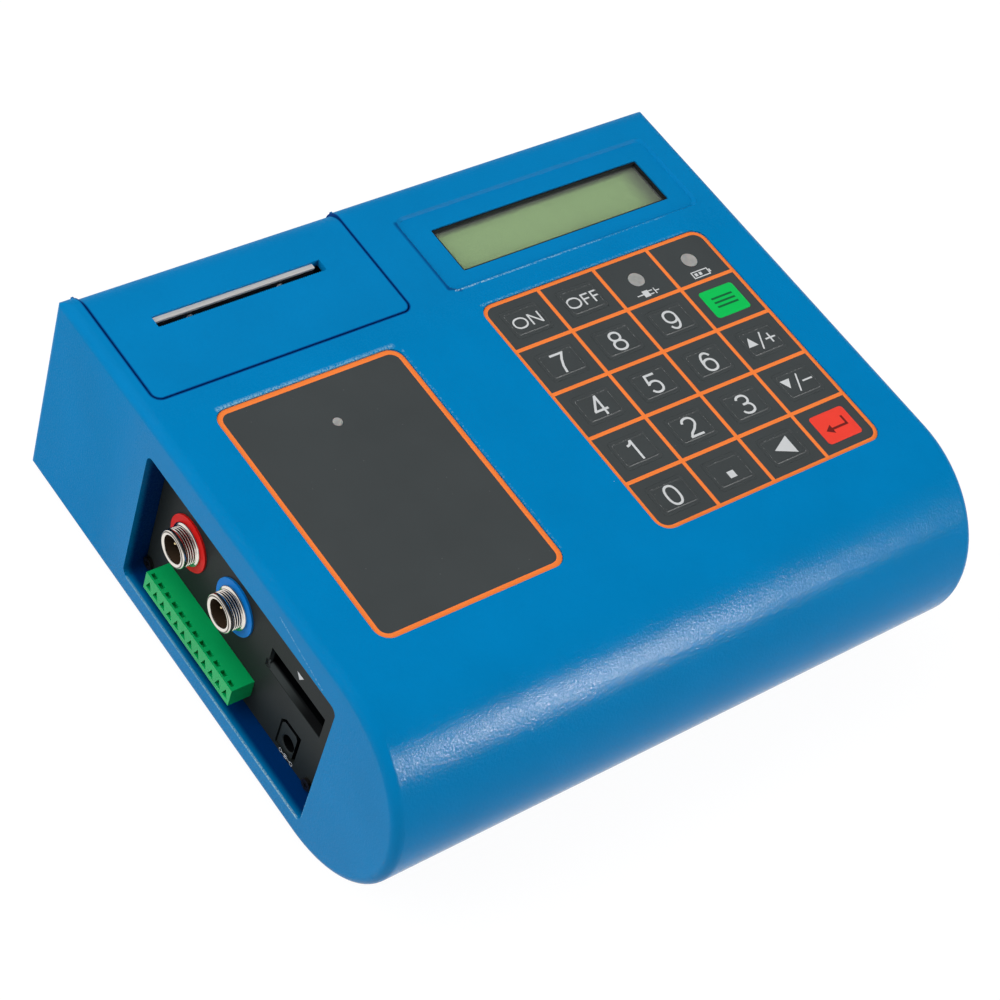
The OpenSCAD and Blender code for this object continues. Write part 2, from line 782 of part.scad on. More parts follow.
module connector_panel() {
    color(panel_black) difference() {
        union() {
            along_x(panel_x) translate([recess_y[0] + loose, recess_z[0] + loose]) {
                rounded(recess_l - 2 * loose, recess_h - 2 * loose, panel_r);
            }
            block([panel_x[0], scoop_x + scoop_t], [scoop_y[0] - scoop_t, scoop_y[1] + scoop_t],
                [scoop_z[0] - scoop_t, scoop_z[1] + scoop_t]);
            block([scoop_x + scoop_t / 2, card_board_x[1]], reader_y,
                [z_card_board - shelf_t, z_card_board]);
            for (spot = card_spots) bar_z([z_card_board - shelf_boss_h, z_card_board], spot, shelf_boss_r);
        }
        // A sloping lip leads into the scoop, whose floor falls behind it
        along_y(scoop_y) polygon([[panel_x[0] - over, scoop_z[0]], [panel_x[0], scoop_z[0]],
            [panel_x[0] + lip_in, scoop_z[0] + lip_rise], [scoop_x, scoop_z[0] + scoop_dip],
            [scoop_x, scoop_z[1]], [panel_x[0] - over, scoop_z[1]]]);
        block([panel_x[0], scoop_x + scoop_t + over], [card_mid - card_half, card_mid + card_half],
            card_slot_z);
        block([panel_x[0] - over, panel_x[0] + panel_t / 2],
            [scoop_y[1] - reset_w / 2, scoop_y[1] + reset_w / 2],
            [scoop_z[0], scoop_z[0] + reset_h]);
        for (at = [red_at, blue_at]) bar_x(wider(panel_x), at, thread_r - rear_less + hole_play);
        block(wider(panel_x), [plug_y[0] - fit, plug_y[1] + fit], [plug_z[0] - fit, plug_z[1] + fit]);
        along_x(wider(panel_x)) jack_outline(0);
        for (y = panel_screw_y, z = panel_screw_z) bar_x(wider(panel_x), [y, z], panel_screw_hole);
        for (spot = card_spots) bar_z([z_card_board - shelf_pilot, z_card_board + over], spot, pilot_r);
    }
}
module jack_outline(play) {
    y = [jack_y - pocket_w / 2 + play, jack_y + pocket_w / 2 - play];
    z = [pocket_z[0] + play, pocket_z[1] - play];
    polygon([[y[0], z[0]], [y[1], z[0]], [y[1], z[1] - pocket_chamfer], [y[1] - pocket_chamfer, z[1]],
        [y[0], z[1]]]);
}
module panel_screws() {
    color(panel_black) for (y = panel_screw_y, z = panel_screw_z) {
        translate([panel_x[0], y, z]) rotate([0, -90, 0])
            screw(panel_screw_r, panel_screw_l, panel_screw_head_r, panel_screw_head);
    }
}

// Lid with its back flange, two knuckles and the paper slot
module printer_lid() {
    color(case_blue) difference() {
        union() {
            intersection() {
                along_x(lid_span) difference() {
                    side_view(lid_back_r, 0);
                    side_view(lid_back_r, lid_t);
                }
                plate(lid_span, [lid_y + seam / 2, y_back + lid_corner_r + over],
                    [hinge_z + flange_up, z_top + over],
                    lid_corner_r - seam / 2);
            }
            for (i = [1, 3]) bar_x([hinge_x[i], hinge_x[i + 1]], hinge_at, knuckle_r);
        }
        translate([slot_x, slot_y - slot_l / 2, z_seat - over])
            linear_extrude(lid_t + 2 * over) slot_outline();
        for (i = [0 : 2 : 4])
            bar_x([hinge_x[i] - (i == 0 ? over : 0), hinge_x[i + 1] + (i == 4 ? over : 0)], hinge_at,
                knuckle_r + hinge_gap);
        bar_x(opening_span, hinge_at, hinge_pin_r + running);
    }
}
module slot_outline() {
    step = slot_w / slot_teeth;
    polygon(concat([for (i = [0 : slot_teeth - 1]) each [[i * step, 0], [(i + 0.5) * step, slot_tooth]]],
        [[slot_w, 0], [slot_w, slot_l], [0, slot_l]]));
}
module lid_hinge_pin() {
    color(steel) bar_x([hinge_x[0] + fit, hinge_x[5] - fit], hinge_at, hinge_pin_r);
}

module window_plate(inset, z) {
    plate([window_x + inset, window_x + window_w - inset],
        [window_y + inset, window_y + window_l - inset], z,
        max(window_r - inset, running));
}
module lcd_window() {
    color([0.8, 0.85, 0.85, 0.4]) window_plate(collar_t + fit + running, [z_glass, z_glass + clear_t]);
}
module lcd_glass() {
    color([0.55, 0.65, 0.5]) block([window_x - glass_border, window_x + window_w + glass_border],
        [window_y - glass_border, window_y + window_l + glass_border], [z_lcd_board, z_glass]);
}
module lcd_bezel() {
    color(panel_black) difference() {
        union() {
            block([window_x - bezel_border_x, window_x + window_w + bezel_border_x],
                [window_y - bezel_border_y, window_y + window_l + bezel_border_y],
                [z_lcd_board, z_ceiling]);
            window_plate(fit, [z_glass, z_field - collar_sink]);
        }
        window_plate(fit + collar_t, [z_lcd_board, z_top]);
        far = glass_border + fit;
        block([window_x - far, window_x + window_w + far], [window_y - far, window_y + window_l + far],
            [z_lcd_board - over, z_glass]);
    }
}
module lcd_board() {
    z = [z_lcd_board - board_t, z_lcd_board];
    color(board_green) difference() {
        union() {
            block(lcd_x, lcd_y, z);
            for (share = lcd_chip_shares) {
                x = lcd_x[0] + (lcd_x[1] - lcd_x[0]) * share;
                block([x, x + lcd_chip[0]],
                    [window_mid[1] - lcd_chip[1] / 2, window_mid[1] + lcd_chip[1] / 2],
                    [z[0] - lcd_chip[2], z[0] + running]);
            }
        }
        for (x = stake_x, y = stake_y) bar_z(wider(z), [x, y], stake_pin_r + fit);
    }
}

// Middle of a key, counted from the left and from the back row
function key_at(col, row) = [keypad_x + (col + 0.5) * key_pitch_x,
    keypad_y + (key_rows - row - 0.5) * key_pitch_y];
module key_plate(at, play, z) {
    plate([at[0] - key_w / 2 - play, at[0] + key_w / 2 + play],
        [at[1] - key_l / 2 - play, at[1] + key_l / 2 + play], z, key_r + play);
}
key_places = [for (row = [0 : key_rows - 1], col = [0 : key_cols - 1]) if (row > 0 || col < 2) [col, row]];
lamp_cols = [2, 3];
module key_pad(col, row) {
    color(sheet_grey) key_plate(key_at(col, row), 0, [z_circuit, z_sheet + key_proud]);
}
module keypad_overlay() {
    color(sheet_grey) difference() {
        sheet_plate(keypad_x, keypad_y, keypad_w, keypad_l, [z_circuit, z_sheet], 0);
        for (place = key_places) key_plate(key_at(place[0], place[1]), key_gap, [z_circuit - over, z_top]);
        for (col = lamp_cols) bar_z([z_circuit - over, z_top], key_at(col, 0), lamp_r + fit);
    }
}
module keypad_circuit() {
    color(board_green) {
        difference() {
            sheet_plate(keypad_x, keypad_y, keypad_w, keypad_l, [z_keypad_seat, z_circuit], 0);
            for (place = key_places)
                key_plate(key_at(place[0], place[1]), key_gap, [z_circuit - pocket_depth, z_top]);
            for (col = lamp_cols) bar_z([z_sheet - lamp_foot, z_top], key_at(col, 0), lamp_r + fit);
        }
        for (place = key_places) {
            bar_z([z_circuit - pocket_depth - skin, z_circuit - pocket_depth + dome_h],
                key_at(place[0], place[1]), dome_r);
        }
    }
}
module lens(at, r) {
    dome = (r * r + lamp_proud * lamp_proud) / (2 * lamp_proud);
    intersection() {
        bar_z([z_sheet - lamp_foot, z_sheet + lamp_proud], at, r);
        translate([at[0], at[1], z_sheet + lamp_proud - dome]) sphere(r = dome);
    }
}
module indicator_lenses() {
    color([0.6, 0.6, 0.58]) {
        for (col = lamp_cols) lens(key_at(col, 0), lamp_r);
        lens(label_lamp, small_lamp_r);
    }
}
module printer_label() {
    color(sheet_grey) difference() {
        sheet_plate(label_x, label_y, label_w, label_l, [z_circuit, z_sheet], 0);
        bar_z([z_circuit - over, z_top], label_lamp, small_lamp_r + fit);
    }
}
module key_on() { key_pad(0, 0); }
module key_off() { key_pad(1, 0); }
module key_7() { key_pad(0, 1); }
module key_8() { key_pad(1, 1); }
module key_9() { key_pad(2, 1); }
module key_menu() { key_pad(3, 1); }
module key_4() { key_pad(0, 2); }
module key_5() { key_pad(1, 2); }
module key_6() { key_pad(2, 2); }
module key_up() { key_pad(3, 2); }
module key_1() { key_pad(0, 3); }
module key_2() { key_pad(1, 3); }
module key_3() { key_pad(2, 3); }
module key_down() { key_pad(3, 3); }
module key_0() { key_pad(0, 4); }
module key_dot() { key_pad(1, 4); }
module key_left() { key_pad(2, 4); }
module key_enter() { key_pad(3, 4); }

// Frame of the printer: two sides, a deck, a back plate and the seat of the tear bar
module printer_frame() {
    z = [frame_top - frame_h, frame_top];
    inner = [lid_mid - frame_half - over, lid_mid + frame_half + over];
    color(panel_black) difference() {
        union() {
            for (side = [[-frame_half - frame_t, -frame_half], [frame_half, frame_half + frame_t]]) {
                block([lid_mid + side[0], lid_mid + side[1]], frame_y, z);
            }
            block(inner, [frame_y[0], frame_y[0] + frame_deck_l], [frame_top - frame_t, frame_top]);
            block(inner, [head_y[1], frame_y[1]], [head_z[0], frame_top]);
            block(inner, [bar_y[1], frame_y[1]], [head_z[1] + running, frame_top]);
        }
        bar_x([lid_mid - frame_half - 2 * frame_t, lid_mid + frame_half + 2 * frame_t], platen_at,
            shaft_r + running);
        bar_x([lid_mid - frame_half - 2 * frame_t, lid_mid - frame_half + over], pinion_at,
            motor_shaft_r + running);
        for (share = bar_screw_shares)
            bar_y([bar_y[1] - over, frame_y[1] + over], bar_screw_at(share), bar_screw_r + running);
    }
}
function bar_screw_at(share) = [bar_x[0] + (bar_x[1] - bar_x[0]) * share, z_top - bar_screw_down];
module print_head() {
    color([0.3, 0.3, 0.32]) block([lid_mid - roll_half, lid_mid + roll_half], head_y, head_z);
}
module tear_bar() {
    color(steel) difference() {
        block(bar_x, bar_y, bar_z);
        block(wider(bar_x), [bar_y[0] - over, bar_y[0] + bar_groove],
            [bar_z[1] - bar_groove_down, bar_z[1] - bar_groove_down + bar_groove_h]);
        for (share = bar_screw_shares) bar_y(wider(bar_y), bar_screw_at(share), bar_screw_r + running);
    }
}
module tear_bar_screws() {
    color(steel) for (share = bar_screw_shares) {
        at = bar_screw_at(share);
        translate([at[0], bar_y[0], at[1]]) rotate([90, 0, 0])
            screw(bar_screw_r, bar_screw_l, bar_screw_head_r, bar_screw_head);
    }
}

// Involute gear drawn round the origin with the middle of a tooth on the first axis
function inv(angle) = tan(angle) * 180 / PI - angle;
function polar(r, angle) = r * [cos(angle), sin(angle)];
function half_tooth(teeth, r) = let (pitch = tooth_module * teeth / 2)
    90 / teeth - backlash / pitch * 90 / PI
    + inv(pressure_angle) - inv(acos(min(1, pitch * cos(pressure_angle) / r)));
module gear_outline(teeth) {
    pitch = tooth_module * teeth / 2;
    root = pitch - dedendum_share * tooth_module;
    tip = pitch + addendum_share * tooth_module;
    low = max(pitch * cos(pressure_angle), root);
    rs = [for (i = [0 : flank_steps]) low + (tip - low) * i / flank_steps];
    polygon([for (t = [0 : teeth - 1]) let (mid = t * 360 / teeth) each concat(
        [polar(root, mid - half_tooth(teeth, low))],
        [for (r = rs) polar(r, mid - half_tooth(teeth, r))],
        [for (i = [flank_steps : -1 : 0]) polar(rs[i], mid + half_tooth(teeth, rs[i]))],
        [polar(root, mid + half_tooth(teeth, low))])]);
}
module platen_shaft() {
    color(steel) bar_x([gear_x[0] - shaft_out, lid_mid + frame_half + frame_t + shaft_out], platen_at,
        shaft_r);
}
module platen_roller() {
    color(rubber_black) difference() {
        bar_x([lid_mid - roll_half, lid_mid + roll_half], platen_at, platen_r);
        bar_x([lid_mid - frame_half, lid_mid + frame_half], platen_at, shaft_r + running);
    }
}
module platen_gear() {
    color(nylon_white) along_x(gear_x) translate(platen_at) difference() {
        rotate(mesh_angle) gear_outline(platen_teeth);
        circle(r = shaft_r + running);
    }
}
module motor_pinion() {
    color(nylon_white) {
        along_x(gear_x) translate(pinion_at) rotate(mesh_angle + 180 + 180 / pinion_teeth)
            gear_outline(pinion_teeth);
        bar_x([gear_x[1] - over, lid_mid - frame_half + motor_grip], pinion_at, motor_shaft_r);
    }
}
module stepper_motor() {
    color(steel) difference() {
        bar_x([lid_mid - frame_half, lid_mid - frame_half + motor_l], pinion_at, motor_r);
        bar_x([lid_mid - frame_half - over, lid_mid - frame_half + motor_grip + running], pinion_at,
            motor_shaft_r + running);
    }
}

module paper_roll() {
    color([0.95, 0.95, 0.93]) difference() {
        bar_x([lid_mid - roll_half, lid_mid + roll_half], [roll_y, roll_z], roll_r);
        bar_x([lid_mid - roll_half - over, lid_mid + roll_half + over], [roll_y, roll_z], core_r);
    }
}
module paper_spindle() {
    color(nylon_white) {
        bar_x([lid_mid - spindle_half, lid_mid + spindle_half], [roll_y, roll_z], core_r - core_play);
        bar_x([lid_mid - spindle_half - journal_l, lid_mid + spindle_half + journal_l], [roll_y, roll_z],
            journal_r);
    }
}

module ring(at) {
    x = [panel_x[0] - ring_t, panel_x[0]];
    difference() {
        bar_x(x, at, ring_r);
        bar_x(wider(x), at, thread_r - rear_less + hole_play);
    }
}
module red_ring() {
    color([0.75, 0.1, 0.1]) ring(red_at);
}
module blue_ring() {
    color([0.05, 0.35, 0.65]) ring(blue_at);
}

// Threaded shell of a socket, drawn as radius and X
module socket_shell(at) {
    x0 = shell_x[0];
    x1 = panel_x[0] - ring_t;
    x2 = shell_x[1];
    start = x0 + shell_chamfer;
    step = (x1 - collar_w - start) / ridges;
    root = thread_r - ridge_depth;
    rear = thread_r - rear_less;
    bore = thread_r - bore_less;
    lip = thread_r - lip_less;
    // Each ridge rises, stays level, falls and leaves a groove
    ridge = [for (i = [0 : ridges - 1]) each [[thread_r, start + i * step],
        [thread_r, start + (i + ridge_shares[0]) * step],
        [root, start + (i + ridge_shares[1]) * step], [root, start + (i + ridge_shares[2]) * step]]];
    turned(at) polygon(concat([[lip, x0], [thread_r - shell_chamfer, x0]], ridge,
        [[root, x1 - collar_w], [thread_r + collar_extra, x1 - collar_w], [thread_r + collar_extra, x1],
            [rear, x1],
        [rear, x2], [bore, x2], [bore, x0 + lip_t], [lip, x0 + lip_t]]));
}
module upstream_socket() {
    color(steel) socket_shell(red_at);
}
module downstream_socket() {
    color(steel) socket_shell(blue_at);
}
module socket_inserts() {
    r = thread_r - bore_less - running;
    face = shell_x[0] + insert_face;
    color([0.2, 0.12, 0.08]) for (at = [red_at, blue_at]) difference() {
        bar_x([shell_x[0] + lip_t + running, shell_x[1]], at, r);
        bar_x([shell_x[0], face], at, r - sleeve_t);
        for (side = [-1, 1])
            bar_x([face - over, shell_x[1] + over], [at[0] + side * pin_apart, at[1]], pin_r + running);
    }
}
module socket_pins() {
    color([0.8, 0.65, 0.3]) for (at = [red_at, blue_at], side = [-1, 1]) {
        bar_x([shell_x[0] + free_depth, shell_x[1] + pin_tail], [at[0] + side * pin_apart, at[1]], pin_r);
    }
}
module socket_nuts() {
    corner = (thread_r + nut_past) / cos(30);
    x = [panel_x[1], panel_x[1] + nut_t];
    color(steel) for (at = [red_at, blue_at]) difference() {
        along_x(x) translate(at) polygon([for (i = [0 : 5]) polar(corner, i * 60)]);
        bar_x(wider(x), at, thread_r - rear_less + running);
    }
}

function pole_y(i) = plug_y[0] + plug_spare / 2 + (i + 0.5) * pole_pitch;
pole_z = (plug_z[0] + plug_z[1]) / 2;
module terminal_header() {
    x = [header_x[1] - header_foot, header_x[1]];
    color(plug_green) difference() {
        union() {
            block(header_x, header_y, header_z);
            block(x, header_y, [z_board_top, header_z[0] + over]);
        }
        block([header_x[0] - over, header_x[1] - header_floor], [plug_y[0] - fit, plug_y[1] + fit],
            [plug_z[0] - fit, plug_z[1] + fit]);
        for (i = [0 : poles - 1])
            bar_x([header_x[1] - header_floor - over, header_x[1] + over], [pole_y(i), pole_z],
                pin_r + running);
    }
}
module terminal_pins() {
    color(steel) for (i = [0 : poles - 1]) {
        bar_x([plug_x[1] - pin_in, header_x[1] + pin_tail], [pole_y(i), pole_z], pin_r);
        bar_z([z_board_top, pole_z], [header_x[1] + pin_tail, pole_y(i)], pin_r);
    }
}
// Spring-cage plug: a wire funnel in front and a release slot on top for each pole
module terminal_plug() {
    color(plug_green) difference() {
        block(plug_x, plug_y, plug_z);
        for (i = [0 : poles - 1]) {
            y = pole_y(i);
            z = plug_z[0] + funnel_up;
            block([plug_x[0] + notch_in, plug_x[0] + notch_in + notch_l], [y - notch_w / 2, y + notch_w / 2],
                [plug_z[1] - notch_h, plug_z[1] + over]);
            along_x([plug_x[0] - over, plug_x[0] + funnel_depth])
                polygon([[y - funnel_w / 2, z], [y + funnel_w / 2, z], [y, z + funnel_h]]);
            block([plug_x[0] - over, plug_x[0] + wire_depth], [y - wire_w / 2, y + wire_w / 2],
                [z, z + wire_w]);
            bar_x([plug_x[1] - pin_in - fit, plug_x[1] + over], [y, pole_z], pin_r + pin_play);
        }
    }
}

module card_reader() {
    color(steel) difference() {
        block(reader_x, reader_y, reader_z);
        block([reader_x[0] - over, reader_x[1] - 2 * over], [card_mid - card_half, card_mid + card_half],
            [reader_z[0] + reader_wall, reader_z[0] + reader_wall + reader_mouth]);
    }
}
module card_board() {
    z = [z_card_board, z_card_board + board_t];
    color(board_green) difference() {
        block(card_board_x, reader_y, z);
        for (spot = card_spots) bar_z(wider(z), spot, screw_hole_r);
    }
}
module dc_jack() {
    wide = pocket_w / 2 - loose;
    color(panel_black) difference() {
        union() {
            along_x([jack_x[0], panel_x[1] + over]) jack_outline(loose);
            block([panel_x[1] + over - skin, jack_x[1]], [jack_y - wide, jack_y + wide],
                [z_board_top, pocket_z[1] - loose]);
        }
        bar_x([jack_x[0] - over, jack_x[0] + jack_hole_l], [jack_y, jack_z], jack_hole_r);
    }
    color(steel) bar_x([jack_x[0] + jack_hole_l - jack_pin_l, jack_x[0] + jack_hole_l + over],
        [jack_y, jack_z], jack_pin_r);
}
module main_board() {
    z = [z_board, z_board_top];
    size = [board_x[1] - board_x[0], board_y[1] - board_y[0]];
    color(board_green) difference() {
        union() {
            block(board_x, board_y, z);
            for (i = [0 : len(part_shares) - 1]) {
                at = [board_x[0] + size[0] * part_shares[i][0], board_y[0] + size[1] * part_shares[i][1]];
                translate([at[0], at[1], z_board_top - skin])
                    cube([part_sizes[i][0], part_sizes[i][1], part_sizes[i][2] + skin]);
            }
        }
        for (spot = board_spots) bar_z(wider(z), spot, screw_hole_r);
    }
}
module battery_pack() {
    color([0.15, 0.3, 0.65]) along_x(battery_x) translate([battery_y[0], z_floor]) rounded(battery_w,
        battery_w, battery_r);
}

upper_case();
base_plate();
case_screws();
rubber_feet();
connector_panel();
panel_screws();
printer_lid();
lid_hinge_pin();
lcd_window();
lcd_glass();
lcd_bezel();
lcd_board();
keypad_overlay();
keypad_circuit();
indicator_lenses();
key_on();
key_off();
key_menu();
key_up();
key_down();
key_enter();
key_left();
key_dot();
key_0();
key_1();
key_2();
key_3();
key_4();
key_5();
key_6();
key_7();
key_8();
key_9();
printer_label();
printer_frame();
print_head();
tear_bar();
tear_bar_screws();
platen_shaft();
platen_roller();
platen_gear();
motor_pinion();
stepper_motor();
paper_roll();
paper_spindle();
red_ring();
blue_ring();
upstream_socket();
downstream_socket();
socket_inserts();
socket_pins();
socket_nuts();
terminal_header();
terminal_plug();
terminal_pins();
card_reader();
card_board();
dc_jack();
main_board();
battery_pack();
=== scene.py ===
import math

import bmesh
import bpy
from mathutils import Matrix, Vector


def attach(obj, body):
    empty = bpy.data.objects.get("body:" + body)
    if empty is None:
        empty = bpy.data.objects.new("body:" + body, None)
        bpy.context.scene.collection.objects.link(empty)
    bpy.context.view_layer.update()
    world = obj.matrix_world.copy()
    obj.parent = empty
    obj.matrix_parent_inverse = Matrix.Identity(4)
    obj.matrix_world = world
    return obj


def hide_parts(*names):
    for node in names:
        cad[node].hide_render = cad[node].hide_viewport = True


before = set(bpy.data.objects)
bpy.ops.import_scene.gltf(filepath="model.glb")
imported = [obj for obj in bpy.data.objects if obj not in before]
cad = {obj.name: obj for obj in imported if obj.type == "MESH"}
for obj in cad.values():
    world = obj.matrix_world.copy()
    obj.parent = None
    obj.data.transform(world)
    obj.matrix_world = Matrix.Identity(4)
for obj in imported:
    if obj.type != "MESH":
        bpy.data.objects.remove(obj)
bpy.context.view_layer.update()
MM = 0.001

# --- Camera, lamps and floor
# The meter stands on a white sweep. A wide lamp in front on the right fills the nose, and two narrow ones beside it
# draw its bright band. One on the left lights the connectors, one above the top, and the white tent does the rest.
look_right = Vector((0.787, -0.569, 0.238)).normalized()
look_ahead = Vector((0.523, 0.412, -0.746)).normalized()
look_up = look_right.cross(look_ahead).normalized()
look_right = look_ahead.cross(look_up).normalized()
camera = bpy.data.objects.new("camera", bpy.data.cameras.new("camera"))
bpy.context.scene.collection.objects.link(camera)
camera.data.sensor_width = 36
camera.data.lens = 95.7
camera.data.clip_start = 0.01
camera.matrix_world = Matrix((look_right, look_up, -look_ahead)).transposed().to_4x4()
camera.matrix_world.translation = Vector((-0.4244, -0.3320, 0.6347))
bpy.context.scene.camera = camera


def soft_box(name, towards, distance, width, height, power, diffuse=True, glossy=True):
    """A rectangular area lamp that stands in one direction from the meter and faces it."""
    lamp = bpy.data.objects.new(name, bpy.data.lights.new(name, "AREA"))
    lamp.data.shape = "RECTANGLE"
    lamp.data.size, lamp.data.size_y = width, height
    lamp.data.energy = power
    direction = Vector(towards).normalized()
    lamp.location = direction * distance + Vector((0, 0, 0.03))
    lamp.rotation_euler = direction.to_track_quat("Z", "Y").to_euler()
    lamp.visible_diffuse, lamp.visible_glossy = diffuse, glossy
    bpy.context.scene.collection.objects.link(lamp)
    return lamp


soft_box("lamp_nose_fill", (0.54, -0.74, 0.40), 1.3, 1.0, 0.62, 7, glossy=False)
soft_box("lamp_nose_core", (0.462, -0.780, 0.420), 1.3, 0.15, 0.34, 21, diffuse=False)
soft_box("lamp_nose_halo", (0.462, -0.780, 0.420), 1.3, 0.20, 0.42, 11, diffuse=False)
soft_box("lamp_left", (-0.78, 0.30, 0.50), 1.5, 1.1, 0.9, 10, glossy=False)
soft_box("lamp_top", (-0.25, 0.35, 0.90), 1.6, 1.4, 1.2, 9, glossy=False)


def add(tree, kind, links=(), **values):
    """A node in tree: values set its properties and sockets, links are (node, socket or constant, input)."""
    made = tree.nodes.new("ShaderNode" + kind)
    for key, value in values.items():
        if hasattr(made, key):
            setattr(made, key, value)
    for key, value in values.items():
        if not hasattr(made, key):
            made.inputs[key.replace("_", " ")].default_value = value
    for source, target in links:
        if isinstance(source, bpy.types.Node):
            source = source.outputs[0]
        if isinstance(source, bpy.types.NodeSocket):
            tree.links.new(source, made.inputs[target])
        else:
            made.inputs[target].default_value = source
    return made


def seen_directly(tree):
    """1 for rays from the camera, from glossy surfaces and through glass, 0 for diffuse light."""
    path = add(tree, "LightPath")
    first = add(tree, "Math", [(path.outputs["Is Camera Ray"], 0), (path.outputs["Is Glossy Ray"], 1)],
                operation="MAXIMUM")
    return add(tree, "Math", [(first, 0), (path.outputs["Is Transmission Ray"], 1)], operation="MAXIMUM").outputs[0]


tent = bpy.data.worlds.new("tent")
bpy.context.scene.world = tent
tent.use_nodes = True
tent_tree = tent.node_tree
tent_tree.nodes.clear()
tent_split = add(tent_tree, "SeparateXYZ", [(add(tent_tree, "TexCoord").outputs["Generated"], 0)])
tent_fall = add(tent_tree, "MapRange", [(tent_split.outputs["Z"], "Value")],
                From_Min=0.1, From_Max=0.6, To_Min=1.0, To_Max=0.12)
tent_mix = add(tent_tree, "Mix", [(seen_directly(tent_tree), "Factor"), (tent_fall, "B")], A=0.33)
tent_shade = add(tent_tree, "Background", [(tent_mix, "Strength")], Color=(1, 1, 1, 1))
add(tent_tree, "OutputWorld", [(tent_shade, "Surface")])

sweep_mesh = bpy.data.meshes.new("floor")
sweep_mesh.from_pydata([(-4, -4, 0), (4, -4, 0), (4, 4, 0), (-4, 4, 0)], [], [(0, 1, 2, 3)])
sweep = bpy.data.objects.new("floor", sweep_mesh)
bpy.context.scene.collection.objects.link(sweep)
sweep_paper = bpy.data.materials.new("floor_paper")
sweep_paper.use_nodes = True
sweep_tree = sweep_paper.node_tree
sweep_shade = sweep_tree.nodes["Principled BSDF"]
sweep_shade.inputs["Base Color"].default_value = (0.62, 0.62, 0.62, 1)
sweep_shade.inputs["Roughness"].default_value = 0.9
sweep_shade.inputs["Specular IOR Level"].default_value = 0.1
sweep_share = add(sweep_tree, "Math", [(seen_directly(sweep_tree), 0), (0.84, 1)], operation="MULTIPLY")
sweep_blend = add(sweep_tree, "MixShader",
                  [(sweep_share, 0), (sweep_shade, 1), (add(sweep_tree, "Emission", Strength=1.12), 2)])
sweep_tree.links.new(sweep_blend.outputs[0], sweep_tree.nodes["Material Output"].inputs["Surface"])
sweep_mesh.materials.append(sweep_paper)
bpy.context.scene.view_settings.view_transform = "Standard"

# --- Blue case: upper shell, base plate and printer lid
# Shells under one fine textured powder coat. The coat is satin and its grain breaks up the bright band on the nose.
# Painted highlights lie on the recess's lower lip, the display field's front edge and behind both printed sheets.


def group(name, inputs, outputs):
    """An empty shader node group with named sockets: (its tree, its input node, its output node)."""
    tree = bpy.data.node_groups.new(name, "ShaderNodeTree")
    for socket, kind, value in inputs:
        made = tree.interface.new_socket(name=socket, in_out="INPUT", socket_type=kind)
        made.default_value = value
    for socket, kind in outputs:
        tree.interface.new_socket(name=socket, in_out="OUTPUT", socket_type=kind)
    return tree, tree.nodes.new("NodeGroupInput"), tree.nodes.new("NodeGroupOutput")


grain_tree, grain_in, grain_out = group(
    "moulded_grain",
    [("Colour", "NodeSocketColor", (0.5, 0.5, 0.5, 1)), ("Roughness", "NodeSocketFloat", 0.4),
     ("Fineness", "NodeSocketFloat", 1500.0), ("Height", "NodeSocketFloat", 0.3),
     ("Mottle", "NodeSocketFloat", 0.04)],
    [("Colour", "NodeSocketColor"), ("Roughness", "NodeSocketFloat"), ("Normal", "NodeSocketVector")])
grain_place = add(grain_tree, "TexCoord")
grain_fine = add(grain_tree, "TexNoise", [(grain_place.outputs["Object"], "Vector"),
                                          (grain_in.outputs["Fineness"], "Scale")],
                 Detail=2.0, Roughness=0.6)
grain_wide = add(grain_tree, "TexNoise", [(grain_place.outputs["Object"], "Vector")], Scale=45.0, Detail=3.0)
grain_shift = add(grain_tree, "MapRange", [(grain_wide, "Value")],
                  From_Min=0.3, From_Max=0.7, To_Min=-1.0, To_Max=1.0)
grain_value = add(grain_tree, "Math", [(grain_shift, 0), (grain_in.outputs["Mottle"], 1), (1.0, 2)],
                  operation="MULTIPLY_ADD")
grain_colour = add(grain_tree, "HueSaturation", [(grain_value, "Value"), (grain_in.outputs["Colour"], "Color")])
grain_rough = add(grain_tree, "Math", [(grain_fine, 0), (grain_in.outputs["Roughness"], 2), (0.08, 1)],
                  operation="MULTIPLY_ADD")
grain_bump = add(grain_tree, "Bump", [(grain_fine, "Height"), (grain_in.outputs["Height"], "Strength")],
                 Distance=0.0004)
grain_tree.links.new(grain_colour.outputs[0], grain_out.inputs["Colour"])
grain_tree.links.new(grain_rough.outputs[0], grain_out.inputs["Roughness"])
grain_tree.links.new(grain_bump.outputs[0], grain_out.inputs["Normal"])

# A line along an edge, broken into patches, on which painted highlights and painted shade are laid
edge_light_tree, edge_light_in, edge_light_out = group(
    "painted_edge_light",
    [("Place", "NodeSocketVector", (0, 0, 0)), ("Start", "NodeSocketVector", (0, 0, 0)),
     ("Run", "NodeSocketVector", (0.01, 0, 0)),
     ("Width", "NodeSocketFloat", 0.0005), ("Patchiness", "NodeSocketFloat", 0.5),
     ("Fade", "NodeSocketFloat", 1.0)],
    [("Mask", "NodeSocketFloat")])
edge_light_off = add(edge_light_tree, "VectorMath", [(edge_light_in.outputs["Place"], 0), (edge_light_in.outputs["Start"], 1)],
               operation="SUBTRACT")
edge_light_dot = add(edge_light_tree, "VectorMath", [(edge_light_off, 0), (edge_light_in.outputs["Run"], 1)], operation="DOT_PRODUCT")
edge_light_square = add(edge_light_tree, "VectorMath", [(edge_light_in.outputs["Run"], 0), (edge_light_in.outputs["Run"], 1)],
                  operation="DOT_PRODUCT")
edge_light_share = add(edge_light_tree, "Math", [(edge_light_dot.outputs["Value"], 0), (edge_light_square.outputs["Value"], 1)],
                 operation="DIVIDE", use_clamp=True)
edge_light_near = add(edge_light_tree, "VectorMath", [(edge_light_in.outputs["Run"], 0), (edge_light_share, "Scale")], operation="SCALE")
edge_light_gap = add(edge_light_tree, "VectorMath", [(edge_light_off, 0), (edge_light_near, 1)], operation="DISTANCE")
